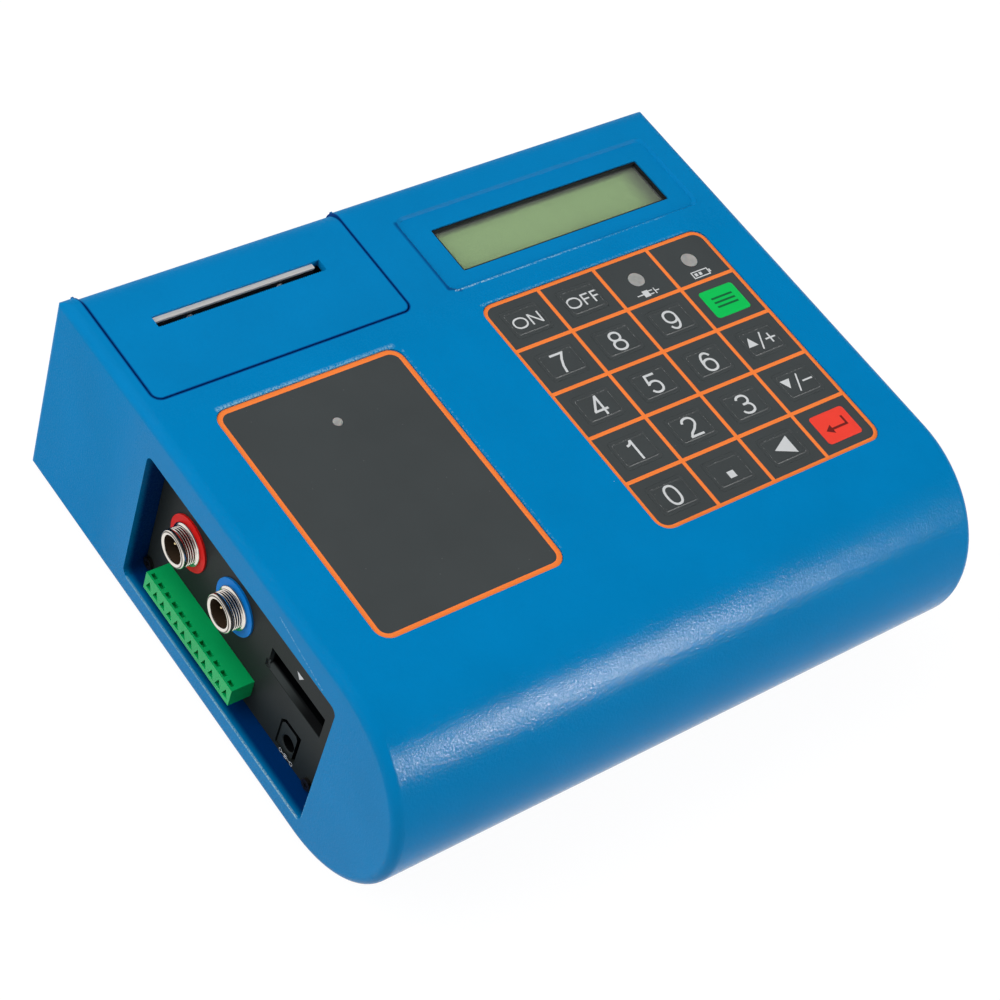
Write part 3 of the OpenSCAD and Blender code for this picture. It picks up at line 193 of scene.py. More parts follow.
edge_light_noise = add(edge_light_tree, "TexNoise", [(edge_light_in.outputs["Place"], "Vector")], Scale=2200.0, Detail=2.0)
edge_light_reach = add(edge_light_tree, "Math", [(edge_light_gap.outputs["Value"], 0), (edge_light_in.outputs["Width"], 1)],
                 operation="DIVIDE")
edge_light_line = add(edge_light_tree, "MapRange", [(edge_light_reach, "Value")], From_Min=0.2, From_Max=1.0, To_Min=1.0, To_Max=0.0)
edge_light_far = add(edge_light_tree, "Math", [(edge_light_share, 0), (edge_light_in.outputs["Fade"], 1)], operation="MULTIPLY")
edge_light_left = add(edge_light_tree, "Math", [(edge_light_far, 1), (1.0, 0)], operation="SUBTRACT", use_clamp=True)
edge_light_cut = add(edge_light_tree, "Math", [(edge_light_in.outputs["Patchiness"], 0), (0.15, 1)], operation="ADD")
edge_light_patch = add(edge_light_tree, "MapRange", [(edge_light_noise, "Value"), (edge_light_in.outputs["Patchiness"], "From Min"),
                                         (edge_light_cut, "From Max")])
edge_light_both = add(edge_light_tree, "Math", [(edge_light_line, 0), (edge_light_left, 1)], operation="MULTIPLY")
edge_light_mask = add(edge_light_tree, "Math", [(edge_light_both, 0), (edge_light_patch, 1)], operation="MULTIPLY")
edge_light_tree.links.new(edge_light_mask.outputs[0], edge_light_out.inputs["Mask"])


def material(name):
    """A new material: (the material, its node tree, its Principled shader)."""
    made = bpy.data.materials.new(name)
    made.use_nodes = True
    return made, made.node_tree, made.node_tree.nodes["Principled BSDF"]


def feed(tree, shader, **sources):
    """Links nodes or sockets to the shader's inputs of those names."""
    for key, source in sources.items():
        socket = source.outputs[0] if isinstance(source, bpy.types.Node) else source
        tree.links.new(socket, shader.inputs[key.replace("_", " ")])


def use(tree, kind, **values):
    """A node group placed in a material, with its own values."""
    made = tree.nodes.new("ShaderNodeGroup")
    made.name = kind
    made.node_tree = bpy.data.node_groups[kind]
    for key, value in values.items():
        made.inputs[key.replace("_", " ")].default_value = value
    return made


def moulded(name, colour, roughness, fineness=1500.0, height=0.15, mottle=0.04, specular=0.5, metallic=0.0):
    """A material whose colour, roughness and normal all come from the grain."""
    made, tree, shader = material(name)
    grain = use(tree, "moulded_grain", Colour=(*colour, 1), Roughness=roughness, Fineness=fineness, Height=height,
                Mottle=mottle)
    feed(tree, shader, Base_Color=grain.outputs["Colour"], Roughness=grain.outputs["Roughness"],
         Normal=grain.outputs["Normal"])
    shader.inputs["Specular IOR Level"].default_value = specular
    shader.inputs["Metallic"].default_value = metallic
    return made


def over(finish, mask, colour):
    """Lays a second colour over a finish's own wherever the mask is 1."""
    tree, shader = finish.node_tree, finish.node_tree.nodes["Principled BSDF"]
    below = shader.inputs["Base Color"].links[0].from_socket
    mixed = add(tree, "Mix", data_type="RGBA")
    tree.links.new(mask, mixed.inputs["Factor"])
    tree.links.new(below, mixed.inputs[6])
    mixed.inputs[7].default_value = (*colour, 1)
    tree.links.new(mixed.outputs[2], shader.inputs["Base Color"])


def dress(name, finish):
    """Gives a CAD node its material, with smooth shading between its sharp edges."""
    mesh = cad[name].data
    mesh.materials.clear()
    mesh.materials.append(finish)
    mesh.shade_smooth()
    mesh.set_sharp_from_angle(angle=math.radians(28))


case_coat = moulded("case_coat", (0.0, 0.215, 0.515), 0.05, fineness=1350.0, height=0.24, mottle=0.03,
                    specular=0.04)
case_tree = case_coat.node_tree
case_place = add(case_tree, "TexCoord")
case_x, case_y, case_z = add(case_tree, "SeparateXYZ", [(case_place.outputs["Object"], 0)]).outputs


def ramp(tree, source, start, end, high=1.0):
    """A value that runs from 0 to high while the source runs from start to end."""
    made = add(tree, "MapRange", [(source, "Value"), (start, "From Min"), (end, "From Max"), (high, "To Max")],
               interpolation_type="SMOOTHSTEP")
    return made.outputs[0]


def times(tree, first, *others):
    """The product of several values."""
    for other in others:
        first = add(tree, "Math", [(first, 0), (other, 1)], operation="MULTIPLY").outputs[0]
    return first


# Painted shade darkens the coat inside the recess. Each limit is where the darkness is none and where it is full
RECESS_MOUTH, RECESS_END = (-0.1089, -0.1058), (-0.0920, -0.0930)
RECESS_FRONT, RECESS_BACK = (-0.0590, -0.0580), (0.0400, 0.0396)
RECESS_FLOOR, RECESS_ROOF = (0.0095, 0.0102), (0.0656, 0.0650)
over(case_coat, times(case_tree, ramp(case_tree, case_x, *RECESS_MOUTH, high=0.90),
                      ramp(case_tree, case_x, *RECESS_END),
                      ramp(case_tree, case_y, *RECESS_FRONT), ramp(case_tree, case_y, *RECESS_BACK),
                      ramp(case_tree, case_z, *RECESS_FLOOR), ramp(case_tree, case_z, *RECESS_ROOF)),
     (0.0, 0.010, 0.105))
# Painted shade darkens the seam round the lid, which has round front corners
LID_MIDDLE, LID_HALF, LID_CORNER = (-0.0591, 0.1000, 0), (0.0415, 0.04975, 0), 0.003
lid_off = add(case_tree, "VectorMath", [(case_place.outputs["Object"], 0), (LID_MIDDLE, 1)], operation="SUBTRACT")
lid_fold = add(case_tree, "VectorMath", [(lid_off, 0)], operation="ABSOLUTE")
lid_past = add(case_tree, "VectorMath", [(lid_fold.outputs[0], 0), (LID_HALF, 1)], operation="SUBTRACT")
lid_out = add(case_tree, "VectorMath", [(lid_past, 0)], operation="MAXIMUM")
lid_flat = add(case_tree, "VectorMath", [(lid_out.outputs[0], 0), ((1, 1, 0), 1)], operation="MULTIPLY")
lid_far = add(case_tree, "VectorMath", [(lid_flat, 0)], operation="LENGTH")
lid_gap = add(case_tree, "Math", [(lid_far.outputs["Value"], 0), (LID_CORNER, 1)], operation="SUBTRACT")
lid_near = add(case_tree, "Math", [(lid_gap, 0)], operation="ABSOLUTE")
over(case_coat, times(case_tree, ramp(case_tree, lid_near, 0.00078, 0.00030, high=0.85),
                      ramp(case_tree, case_z, 0.0700, 0.0705)), (0.0, 0.022, 0.19))
# The coat is duller towards the back of the top
case_dull = add(case_tree, "Math", [(case_tree.nodes["moulded_grain"].outputs["Roughness"], 0),
                                    (ramp(case_tree, case_y, 0.030, 0.060, high=0.35), 1)], operation="ADD")
# Single grains of the coat stand up duller than the rest
case_grit = add(case_tree, "TexNoise", [(case_place.outputs["Object"], "Vector")], Scale=1900.0, Detail=1.0)
case_rough = add(case_tree, "Math", [(case_dull, 0),
                                     (ramp(case_tree, case_grit, 0.46, 0.56, high=0.13), 1)], operation="ADD")
case_tree.links.new(case_rough.outputs[0], case_tree.nodes["Principled BSDF"].inputs["Roughness"])
# A little dust lies on it
case_dust = add(case_tree, "TexVoronoi", [(case_place.outputs["Object"], "Vector")], Scale=60.0)
over(case_coat, ramp(case_tree, case_dust.outputs["Distance"], 0.012, 0.007, high=0.55), (0.35, 0.60, 0.75))
# Each painted highlight or shade line: its start, its run, its width, how patchy it is, how much it fades along it,
# its colour
bright_highlight, pale_highlight, shade = (0.42, 0.66, 0.80), (0.16, 0.42, 0.62), (0.0, 0.07, 0.25)
for start, run, width, patchiness, fade, colour in (
        ((0.0007, 0.0497, 0.0765), (0.0, 0.0290, 0.0), 0.0011, 0.10, 0.1, shade),
        ((0.0007, 0.0500, 0.0765), (0.0030, -0.0020, 0.0), 0.0010, 0.10, 0.1, shade),
        ((0.0022, 0.0482, 0.0765), (0.0560, 0.0, 0.0), 0.0005, 0.44, 0.6, bright_highlight),
        ((0.0150, 0.0482, 0.0765), (0.0700, 0.0, 0.0), 0.0004, 0.50, 0.2, pale_highlight),
        ((-0.109, 0.0370, 0.01035), (0.0, -0.0930, 0.0), 0.0007, 0.30, 0.1, pale_highlight),
        ((-0.109, -0.0560, 0.01035), (0.0, 0.0500, 0.0), 0.0006, 0.42, 0.7, bright_highlight),
        ((-0.109, -0.0576, 0.0130), (0.0, 0.0, 0.030), 0.0005, 0.50, 1.0, pale_highlight),
        ((0.0060, 0.0401, 0.0765), (0.080, 0.0, 0.0), 0.0007, 0.48, 0.5, pale_highlight),
        ((-0.0890, 0.0375, 0.0763), (0.060, 0.0, 0.0), 0.0012, 0.40, 0.3, (0.22, 0.46, 0.64)),
        ((-0.109, -0.0280, 0.0706), (0.0, -0.0223, -0.0049), 0.0004, 0.44, 0.2, pale_highlight),
        ((-0.0270, 0.0350, 0.0765), (0.0, -0.080, 0.0), 0.0006, 0.54, 0.4, pale_highlight)):
    edge_light = use(case_tree, "painted_edge_light", Start=start, Run=run, Width=width, Patchiness=patchiness, Fade=fade)
    case_tree.links.new(case_place.outputs["Object"], edge_light.inputs["Place"])
    over(case_coat, edge_light.outputs["Mask"], colour)
for name in ("upper_case", "base_plate", "printer_lid"):
    dress(name, case_coat)

# --- Printed sheets: the keypad's film and the plate beside it
# Dark grey polyester film with a matt hard coat. The orange lines are printed on its face, and dust lies on it.
film = moulded("grey_film", (0.0535, 0.0615, 0.0635), 0.42, fineness=2600.0, height=0.05, mottle=0.05,
               specular=0.15)
film_dust = add(film.node_tree, "TexVoronoi", [(add(film.node_tree, "TexCoord").outputs["Object"], "Vector")],
                Scale=240.0)
film_speck = add(film.node_tree, "MapRange", [(film_dust.outputs["Distance"], "Value")],
                 From_Min=0.035, From_Max=0.06, To_Min=0.16, To_Max=0.0)
over(film, film_speck.outputs[0], (0.3, 0.3, 0.3))


def printed(name, colour, roughness=0.5, height=0.04):
    """A layer of matt ink on the film."""
    return moulded(name, colour, roughness, fineness=2600.0, height=height, mottle=0.03, specular=0.15)


orange_ink = printed("orange_ink", (1.0, 0.235, 0.045))
for name in ("keypad_overlay", "printer_label"):
    dress(name, film)

LINE = 1.3 * MM
SHEET_TOP = 76.0 * MM
INK = 0.02 * MM


def rounded_loop(x0, x1, y0, y1, radius, steps=6):
    """The points of a rectangle with round corners, anticlockwise from its right front corner."""
    points = []
    for cx, cy, start in ((x1 - radius, y0 + radius, -90), (x1 - radius, y1 - radius, 0),
                          (x0 + radius, y1 - radius, 90), (x0 + radius, y0 + radius, 180)):
        for i in range(steps + 1):
            turn = math.radians(start + 90 * i / steps)
            points.append((cx + radius * math.cos(turn), cy + radius * math.sin(turn)))
    return points


def placed(name, mesh, finish, body):
    """An object of that mesh, finish, body and material slot."""
    made = bpy.data.objects.new(name, mesh)
    bpy.context.scene.collection.objects.link(made)
    mesh.materials.append(finish)
    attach(made, body)
    return made


def mesh_of(bm, name, sharp=None):
    """The mesh of bm, smooth between edges sharper than that angle where one is given."""
    made = bpy.data.meshes.new(name)
    bm.to_mesh(made)
    if sharp is not None:
        made.shade_smooth()
        made.set_sharp_from_angle(angle=math.radians(sharp))
    return made


def joined(bm, rings, closed=False):
    """Quads between rings of as many vertices each; returns them ring by ring."""
    return [[bm.faces.new((a[i], a[(i + 1) % len(a)], b[(i + 1) % len(a)], b[i])) for i in range(len(a))]
            for a, b in zip(rings, rings[1:] + rings[:1] if closed else rings[1:])]


def ink_line(bm, outer, inner, z):
    """A closed printed line between two loops with as many points each."""
    joined(bm, [[bm.verts.new((x, y, z)) for x, y in loop] for loop in (outer, inner)])


def ink_block(bm, x0, x1, y0, y1, z):
    """A printed rectangle."""
    bm.faces.new([bm.verts.new(p) for p in ((x0, y0, z), (x1, y0, z), (x1, y1, z), (x0, y1, z))])


PITCH_X, PITCH_Y = 21.66 * MM, 18.42 * MM
KEYPAD_X, KEYPAD_Y = 5.0 * MM, -53.05 * MM
KEYPAD_W, KEYPAD_L = 4 * PITCH_X, 5 * PITCH_Y
half = LINE / 2
bm = bmesh.new()
ink_line(bm, rounded_loop(KEYPAD_X - half, KEYPAD_X + KEYPAD_W + half, KEYPAD_Y - half, KEYPAD_Y + KEYPAD_L + half,
                          4.65 * MM),
         rounded_loop(KEYPAD_X + half, KEYPAD_X + KEYPAD_W - half, KEYPAD_Y + half, KEYPAD_Y + KEYPAD_L - half,
                      3.35 * MM),
         SHEET_TOP + INK)
for col in range(1, 4):
    x = KEYPAD_X + col * PITCH_X
    ink_block(bm, x - half, x + half, KEYPAD_Y + half, KEYPAD_Y + KEYPAD_L - half, SHEET_TOP + INK)
for row in range(1, 5):
    y = KEYPAD_Y + row * PITCH_Y
    for col in range(4):
        x = KEYPAD_X + col * PITCH_X
        ink_block(bm, x + half, x + PITCH_X - half, y - half, y + half, SHEET_TOP + INK)
placed("keypad_lines", mesh_of(bm, "keypad_lines"), orange_ink, "case")
LABEL = (-91.0 * MM, -28.2 * MM, -49.35 * MM, 36.5 * MM)
LABEL_INSET = 1.0 * MM
bm = bmesh.new()
ink_line(bm, rounded_loop(LABEL[0] - half, LABEL[1] + half, LABEL[2] - half, LABEL[3] + half, 4.65 * MM),
         rounded_loop(LABEL[0] + LABEL_INSET, LABEL[1] - LABEL_INSET, LABEL[2] + LABEL_INSET,
                      LABEL[3] - LABEL_INSET, 3.0 * MM), SHEET_TOP + INK)
placed("label_line", mesh_of(bm, "label_line"), orange_ink, "case")

# --- Eighteen keys
# Each key is an embossed pad of the same film with a narrow raised frame, whose crest is worn. Two pads are
# coloured. The legends are light grey ink in thin strokes, and dark ink on the coloured pads.
green_film = printed("green_film", (0.0, 0.56, 0.095), 0.42, 0.05)
red_film = printed("red_film", (0.93, 0.058, 0.036), 0.42, 0.05)
pale_ink = printed("pale_ink", (0.66, 0.68, 0.69))
dark_green_ink = printed("dark_green_ink", (0.004, 0.13, 0.04))
dark_red_ink = printed("dark_red_ink", (0.17, 0.014, 0.012))
crest_film = moulded("crest_film", (0.060, 0.066, 0.068), 0.36, fineness=2600.0, height=0.1, mottle=0.05,
                     specular=0.25)
crest_tree = crest_film.node_tree
crest_noise = add(crest_tree, "TexNoise", [(add(crest_tree, "TexCoord").outputs["Object"], "Vector")], Scale=1500.0,
                  Detail=2.0)
crest_worn = add(crest_tree, "MapRange", [(crest_noise, "Value")], From_Min=0.54, From_Max=0.66, To_Max=0.75)
over(crest_film, crest_worn.outputs[0], (0.30, 0.31, 0.31))
KEY_W, KEY_L, KEY_R = 13.6 * MM, 11.0 * MM, 1.2 * MM
KEY_GAP = 0.06 * MM


def stacked(bm, loops, first_crest=None):
    """Faces between loops of (x, y, z) points, closed at both ends; the crest's faces take the second material."""
    rings = [[bm.verts.new(p) for p in loop] for loop in loops]
    for k, faces in enumerate(joined(bm, rings)):
        for face in faces:
            face.material_index = 1 if k == first_crest else 0
    bm.faces.new(list(reversed(rings[0])))
    bm.faces.new(rings[-1])


def key_mesh(name, x, y, crest):
    """A pad with a narrow raised frame inside its edge."""
    bm = bmesh.new()
    # Inset across the width, inset along the length, and height
    steps = ((-KEY_GAP, -KEY_GAP, 75.6 * MM), (-KEY_GAP, -KEY_GAP, 76.02 * MM), (0.1 * MM, 0.1 * MM, 76.10 * MM),
             (0.55 * MM, 1.05 * MM, 76.16 * MM), (0.68 * MM, 1.18 * MM, 76.16 * MM + crest),
             (0.84 * MM, 1.34 * MM, 76.16 * MM + crest), (1.0 * MM, 1.5 * MM, 76.17 * MM),
             (2.0 * MM, 2.4 * MM, 76.20 * MM))
    loops = []
    for across, along, z in steps:
        radius = max(KEY_R - across * 0.5, 0.5 * MM)
        loop = rounded_loop(x - KEY_W / 2 + across, x + KEY_W / 2 - across, y - KEY_L / 2 + along,
                            y + KEY_L / 2 - along, radius)
        loops.append([(px, py, z) for px, py in loop])
    stacked(bm, loops, first_crest=4)
    return mesh_of(bm, name, 40)


def arc(cx, cy, rx, ry, start, end, power=2.2, steps=18):
    """Points of an arc in millimetres; a power over 2 squares its shoulders."""
    points = []
    for i in range(steps + 1):
        turn = math.radians(start + (end - start) * i / steps)
        c, s = math.cos(turn), math.sin(turn)
        points.append((cx + rx * math.copysign(abs(c) ** (2 / power), c),
                       cy + ry * math.copysign(abs(s) ** (2 / power), s)))
    return points


def ring(cx, cy, rx, ry, power=2.2):
    """Points of a closed round stroke, in millimetres, with its first point given again at its end."""
    return arc(cx, cy, rx, ry, 90, 450, power, 36)


def stroke(points, width):
    """Four-sided pieces of a pen line of that width through the points."""
    closed = math.dist(points[0], points[-1]) < 1e-6
    points = points[:-1] if closed else points
    sides = []
    for i, (x, y) in enumerate(points):
        before = points[i - 1] if closed or i else (x, y)
        after = points[(i + 1) % len(points)] if closed or i + 1 < len(points) else (x, y)
        a = Vector((x - before[0], y - before[1])).normalized()
        b = Vector((after[0] - x, after[1] - y)).normalized()
        along = (a + b).normalized()
        reach = width / 2 / max(0.5, along.dot(b if b.length else a))
        sides.append(((x - along.y * reach, y + along.x * reach), (x + along.y * reach, y - along.x * reach)))
    if closed:
        sides.append(sides[0])
    return [[p[0], p[1], q[1], q[0]] for p, q in zip(sides, sides[1:])]


LAYER = 0.006 * MM


def flat_shapes(name, layers, x, y, z):
    """A mesh of flat polygons in millimetres round x, y and z; each layer of them lies a little over the last."""
    made = bpy.data.meshes.new(name)
    points, faces = [], []
    for k, shapes in enumerate(layers):
        for shape in shapes:
            faces.append(tuple(range(len(points), len(points) + len(shape))))
            points += [(x + px * MM, y + py * MM, z + k * LAYER) for px, py in shape]
    made.from_pydata(points, [], faces)
    return made


PEN, WORD_PEN, WORD_DROP = 0.80, 0.60, 0.3 * MM
six = [ring(0.0, -1.25, 2.15, 2.2), arc(0.1, -0.95, 2.25, 4.35, 42, 182)]
digits = {
    "0": [ring(0.0, 0.0, 2.15, 3.4, 2.35)],
    "1": [[(0.55, -3.8), (0.55, 3.8)], [(-1.6, 2.05), (-0.75, 2.2), (-0.05, 2.7), (0.35, 3.6)]],
    "2": [arc(0.0, 1.5, 2.1, 1.9, 172, -28) + [(0.5, -1.0), (-1.3, -2.2), (-2.05, -3.3)],
          [(-2.5, -3.4), (2.5, -3.4)]],
    "3": [arc(-0.1, 1.75, 1.95, 1.65, 165, -90), arc(-0.1, -1.6, 2.15, 1.8, 90, -168),
          [(-0.9, 0.12), (-0.05, 0.12)]],
    "4": [[(1.0, -3.8), (1.0, 3.8)], [(0.95, 3.5), (-2.2, -1.6)], [(-2.6, -1.75), (2.5, -1.75)]],
    "5": [[(2.05, 3.4), (-1.45, 3.4), (-1.95, -0.2)], arc(-0.05, -1.25, 2.15, 2.15, 148, -158)],
    "6": six,
    "7": [[(-2.4, 3.4), (2.1, 3.4), (0.7, 1.2), (-0.35, -1.3), (-0.75, -3.8)]],
    "8": [ring(0.0, 1.8, 1.8, 1.6), ring(0.0, -1.6, 2.15, 1.8)],
    "9": [[(-px, -py) for px, py in line] for line in six],
    "ON": [ring(-2.5, 0, 2.35, 1.9), [(1.3, -2.2), (1.3, 2.2)], [(1.35, 2.0), (4.85, -2.0)],
           [(4.9, -2.2), (4.9, 2.2)]],
    "OFF": [ring(-3.45, 0, 2.35, 1.9), [(0.3, -2.2), (0.3, 1.9), (2.8, 1.9)], [(0.3, 0.1), (2.5, 0.1)],
            [(3.9, -2.2), (3.9, 1.9), (6.3, 1.9)], [(3.9, 0.1), (6.0, 0.1)]],
}
SLASH = stroke([(-1.3, -3.1), (1.4, 3.2)], 0.55)
MINUS, UPRIGHT = stroke([(1.7, -0.1), (5.6, -0.1)], 0.6), stroke([(3.65, -2.05), (3.65, 1.85)], 0.6)
icons = {
    "dot": [[[(-1.2, -2.6), (1.3, -2.6), (1.3, -0.1), (-1.2, -0.1)]]],
    "left": [[[(-3.3, 0.0), (3.5, -3.4), (3.5, 3.4)]]],
    "up": [[[(-5.7, -1.0), (-1.9, -1.0), (-3.8, 2.6)]], SLASH, MINUS, UPRIGHT],
    "down": [[[(-5.7, 2.5), (-3.8, -1.1), (-1.9, 2.5)]], SLASH, MINUS],
    "menu": [stroke([(-4.2, lift), (4.2, lift)], 0.75) for lift in (1.75, 0.0, -1.75)],
    "enter": [stroke([(3.8, 2.3), (3.8, -0.9), (-2.4, -0.9)], 0.8), [[(-4.6, -0.9), (-2.0, -2.6), (-2.0, 0.8)]]],
}
LEGEND_Z = 76.22 * MM
keys = [("on", 0, 0), ("off", 1, 0), ("7", 0, 1), ("8", 1, 1), ("9", 2, 1), ("menu", 3, 1),
        ("4", 0, 2), ("5", 1, 2), ("6", 2, 2), ("up", 3, 2), ("1", 0, 3), ("2", 1, 3), ("3", 2, 3), ("down", 3, 3),
        ("0", 0, 4), ("dot", 1, 4), ("left", 2, 4), ("enter", 3, 4)]
for name, col, row in keys:
    x = KEYPAD_X + (col + 0.5) * PITCH_X
    y = KEYPAD_Y + (4.5 - row) * PITCH_Y
    body = f"key_{name}_pad"
    coloured = name in ("menu", "enter")
    finish = {"menu": green_film, "enter": red_film}.get(name, film)
    ink = {"menu": dark_green_ink, "enter": dark_red_ink}.get(name, pale_ink)
    pad = placed(f"pad_{name}", key_mesh(f"pad_{name}", x, y, (0.0 if coloured else 0.15) * MM), finish, body)
    pad.data.materials.append(finish if coloured else crest_film)
    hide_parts(f"key_{name}")
    if name.upper() in digits:
        pen, drop = (PEN, 0) if len(name) == 1 else (WORD_PEN, WORD_DROP)
        layers = [stroke(line, pen) for line in digits[name.upper()]]
        shape = flat_shapes(f"legend_{name}", layers, x, y - drop, LEGEND_Z)
    else:
        shape = flat_shapes(f"legend_{name}", icons[name], x, y, LEGEND_Z)
    placed(f"legend_{name}", shape, ink, body)

# --- Lamps and the small signs below them
# Milky grey lenses over the charging and battery lamps, and a smaller one on the plate beside the keypad.
lens_milk, lens_tree, lens_shader = material("milky_lens")
lens_place = add(lens_tree, "TexCoord")
lens_cloud = add(lens_tree, "TexNoise", [(lens_place.outputs["Object"], "Vector")], Scale=420.0, Detail=2.0)


def toned(ramp_node, first, last):
    """Gives a colour ramp its two end colours."""
    ramp_node.color_ramp.elements[0].color = first
    ramp_node.color_ramp.elements[1].color = last


lens_ramp = add(lens_tree, "ValToRGB", [(lens_cloud, "Fac")])
toned(lens_ramp, (0.26, 0.26, 0.255, 1), (0.50, 0.50, 0.48, 1))
feed(lens_tree, lens_shader, Base_Color=lens_ramp)
lens_shader.inputs["Roughness"].default_value = 0.3
lens_shader.inputs["Subsurface Weight"].default_value = 0.2
lens_shader.inputs["Subsurface Scale"].default_value = 0.001
dress("indicator_lenses", lens_milk)
signs = {
    "battery": (3, [stroke([(-3.2, -1.2), (-3.2, 1.2), (3.0, 1.2), (3.0, -1.2), (-3.2, -1.2)], 0.4),
                    stroke([(3.6, -0.6), (3.6, 0.6)], 0.6), stroke([(-1.9, -0.6), (-1.9, 0.6)], 1.1),
                    stroke([(-0.2, -0.6), (-0.2, 0.6)], 1.1)]),
    "charge": (2, [stroke([(-4.2, 0), (-1.8, 0)], 0.4), [[(-1.8, -1.3), (0.4, -1.3), (0.4, 1.3), (-1.8, 1.3)]],
                   stroke([(0.4, 0.7), (2.0, 0.7)], 0.4), stroke([(0.4, -0.7), (2.0, -0.7)], 0.4),
                   stroke([(2.8, -1.2), (2.8, 1.2)], 0.4), stroke([(2.8, 0), (4.4, 0)], 0.4)]),
}
for name, (col, layers) in signs.items():
    x = KEYPAD_X + (col + 0.5) * PITCH_X
    placed(f"sign_{name}", flat_shapes(f"sign_{name}", layers, x, 23.7 * MM, SHEET_TOP + INK), pale_ink, "case")

# --- Display
# A reflective yellow-green glass behind a clear window, with a black frame that lines the opening's walls.
lcd_face, lcd_tree, lcd_shader = material("lcd_face")
lcd_place = add(lcd_tree, "TexCoord")
lcd_grain = use(lcd_tree, "moulded_grain", Colour=(0.47, 0.70, 0.325, 1), Roughness=0.3, Fineness=3000.0,
                Height=0.02, Mottle=0.03)
feed(lcd_tree, lcd_shader, Base_Color=lcd_grain.outputs["Colour"], Roughness=lcd_grain.outputs["Roughness"])
lcd_shader.inputs["Specular IOR Level"].default_value = 0.2
# Twenty by two character cells of small dots show very faintly, as they do when the display is off
DOT = 0.61 * MM
DOTS_CORNER, GLASS_MIDDLE, GLASS_HALF = (0.0142, 0.0583, 0), (0.0465, 0.0615, 0), (0.0445, 0.0107)
lcd_cell = add(lcd_tree, "VectorMath", [(lcd_place.outputs["Object"], 0), (DOTS_CORNER, 1)], operation="SUBTRACT")
lcd_dots = add(lcd_tree, "VectorMath", [(lcd_cell, 0), ((1 / DOT, 1 / DOT, 0), 1)], operation="MULTIPLY")
lcd_fraction = add(lcd_tree, "VectorMath", [(lcd_dots, 0)], operation="FRACTION")
lcd_axes = add(lcd_tree, "SeparateXYZ", [(lcd_fraction, 0)])
lcd_dark = add(lcd_tree, "Math", [(lcd_axes.outputs["X"], 0), (lcd_axes.outputs["Y"], 1)], operation="MINIMUM")
lcd_step = add(lcd_tree, "MapRange", [(lcd_dark, "Value")], From_Min=0.05, From_Max=0.12, To_Min=0.0, To_Max=0.025)
over(lcd_face, lcd_step.outputs[0], (0.06, 0.10, 0.07))
# The frame's shade greys the glass towards its back and right edges
lcd_off = add(lcd_tree, "VectorMath", [(lcd_place.outputs["Object"], 0), (GLASS_MIDDLE, 1)], operation="SUBTRACT")
lcd_round = add(lcd_tree, "VectorMath", [(lcd_off, 0), ((1 / GLASS_HALF[0], 1 / GLASS_HALF[1], 0), 1)],
                operation="MULTIPLY")
lcd_near = add(lcd_tree, "VectorMath", [(lcd_round, 0)], operation="ABSOLUTE")
lcd_sides = add(lcd_tree, "SeparateXYZ", [(lcd_near, 0)])
lcd_most = add(lcd_tree, "Math", [(lcd_sides.outputs["X"], 0), (lcd_sides.outputs["Y"], 1)], operation="MAXIMUM")
lcd_edge = add(lcd_tree, "MapRange", [(lcd_most, "Value")], From_Min=0.82, From_Max=0.98, To_Min=0.0, To_Max=0.85)
over(lcd_face, lcd_edge.outputs[0], (0.22, 0.25, 0.19))
dress("lcd_glass", lcd_face)
window_clear, window_tree, window_shader = material("window_clear")
window_grain = use(window_tree, "moulded_grain", Colour=(0.85, 0.9, 0.87, 1), Roughness=0.04, Fineness=300.0,
                   Height=0.01, Mottle=0.02)
feed(window_tree, window_shader, Base_Color=window_grain.outputs["Colour"],
     Roughness=window_grain.outputs["Roughness"])
window_shader.inputs["Alpha"].default_value = 0.06
window_shader.inputs["Specular IOR Level"].default_value = 0.4
dress("lcd_window", window_clear)
frame_black = moulded("frame_black", (0.012, 0.013, 0.014), 0.4, fineness=1800.0, height=0.06, mottle=0.05,
                      specular=0.2)
dress("lcd_bezel", frame_black)

# --- Tear bar and the screws that hold it
# A folded strip of bright steel with brushed faces, a groove along its front, and two small pan-head screws.
steel_bright, steel_tree, steel_shader = material("bright_steel")
steel_place = add(steel_tree, "TexCoord")
steel_stretch = add(steel_tree, "Mapping", [(steel_place.outputs["Object"], "Vector")])
steel_stretch.inputs["Scale"].default_value = (60, 2600, 2600)
steel_brush = add(steel_tree, "TexNoise", [(steel_stretch, "Vector")], Scale=1.0, Detail=4.0)
steel_tone = add(steel_tree, "ValToRGB", [(steel_brush, "Fac")])
toned(steel_tone, (0.62, 0.60, 0.57, 1), (0.95, 0.93, 0.90, 1))
steel_rough = add(steel_tree, "MapRange", [(steel_brush, "Value")], To_Min=0.25, To_Max=0.45)
steel_bump = add(steel_tree, "Bump", [(steel_brush, "Height")], Strength=0.15, Distance=0.00005)
feed(steel_tree, steel_shader, Base_Color=steel_tone, Roughness=steel_rough, Normal=steel_bump)
steel_shader.inputs["Metallic"].default_value = 0.4
steel_shader.inputs["Specular IOR Level"].default_value = 0.2
for name in ("tear_bar", "tear_bar_screws", "lid_hinge_pin", "platen_shaft", "card_reader", "case_screws"):
    dress(name, steel_bright)

# Painted shade darkens the front of the bar below its top edge; the heads of its screws stay bright
steel_y, steel_z = add(steel_tree, "SeparateXYZ", [(steel_place.outputs["Object"], 0)]).outputs[1:]
steel_painted_shade = times(steel_tree, ramp(steel_tree, steel_z, 0.0750, 0.0745, high=0.97),
                   ramp(steel_tree, steel_z, 0.0690, 0.0691), ramp(steel_tree, steel_y, 0.0732, 0.0734))
over(steel_bright, steel_painted_shade, (0.012, 0.011, 0.010))
steel_metallic = add(steel_tree, "MapRange", [(steel_painted_shade, "Value")], To_Min=0.4, To_Max=0.0)
feed(steel_tree, steel_shader, Metallic=steel_metallic)

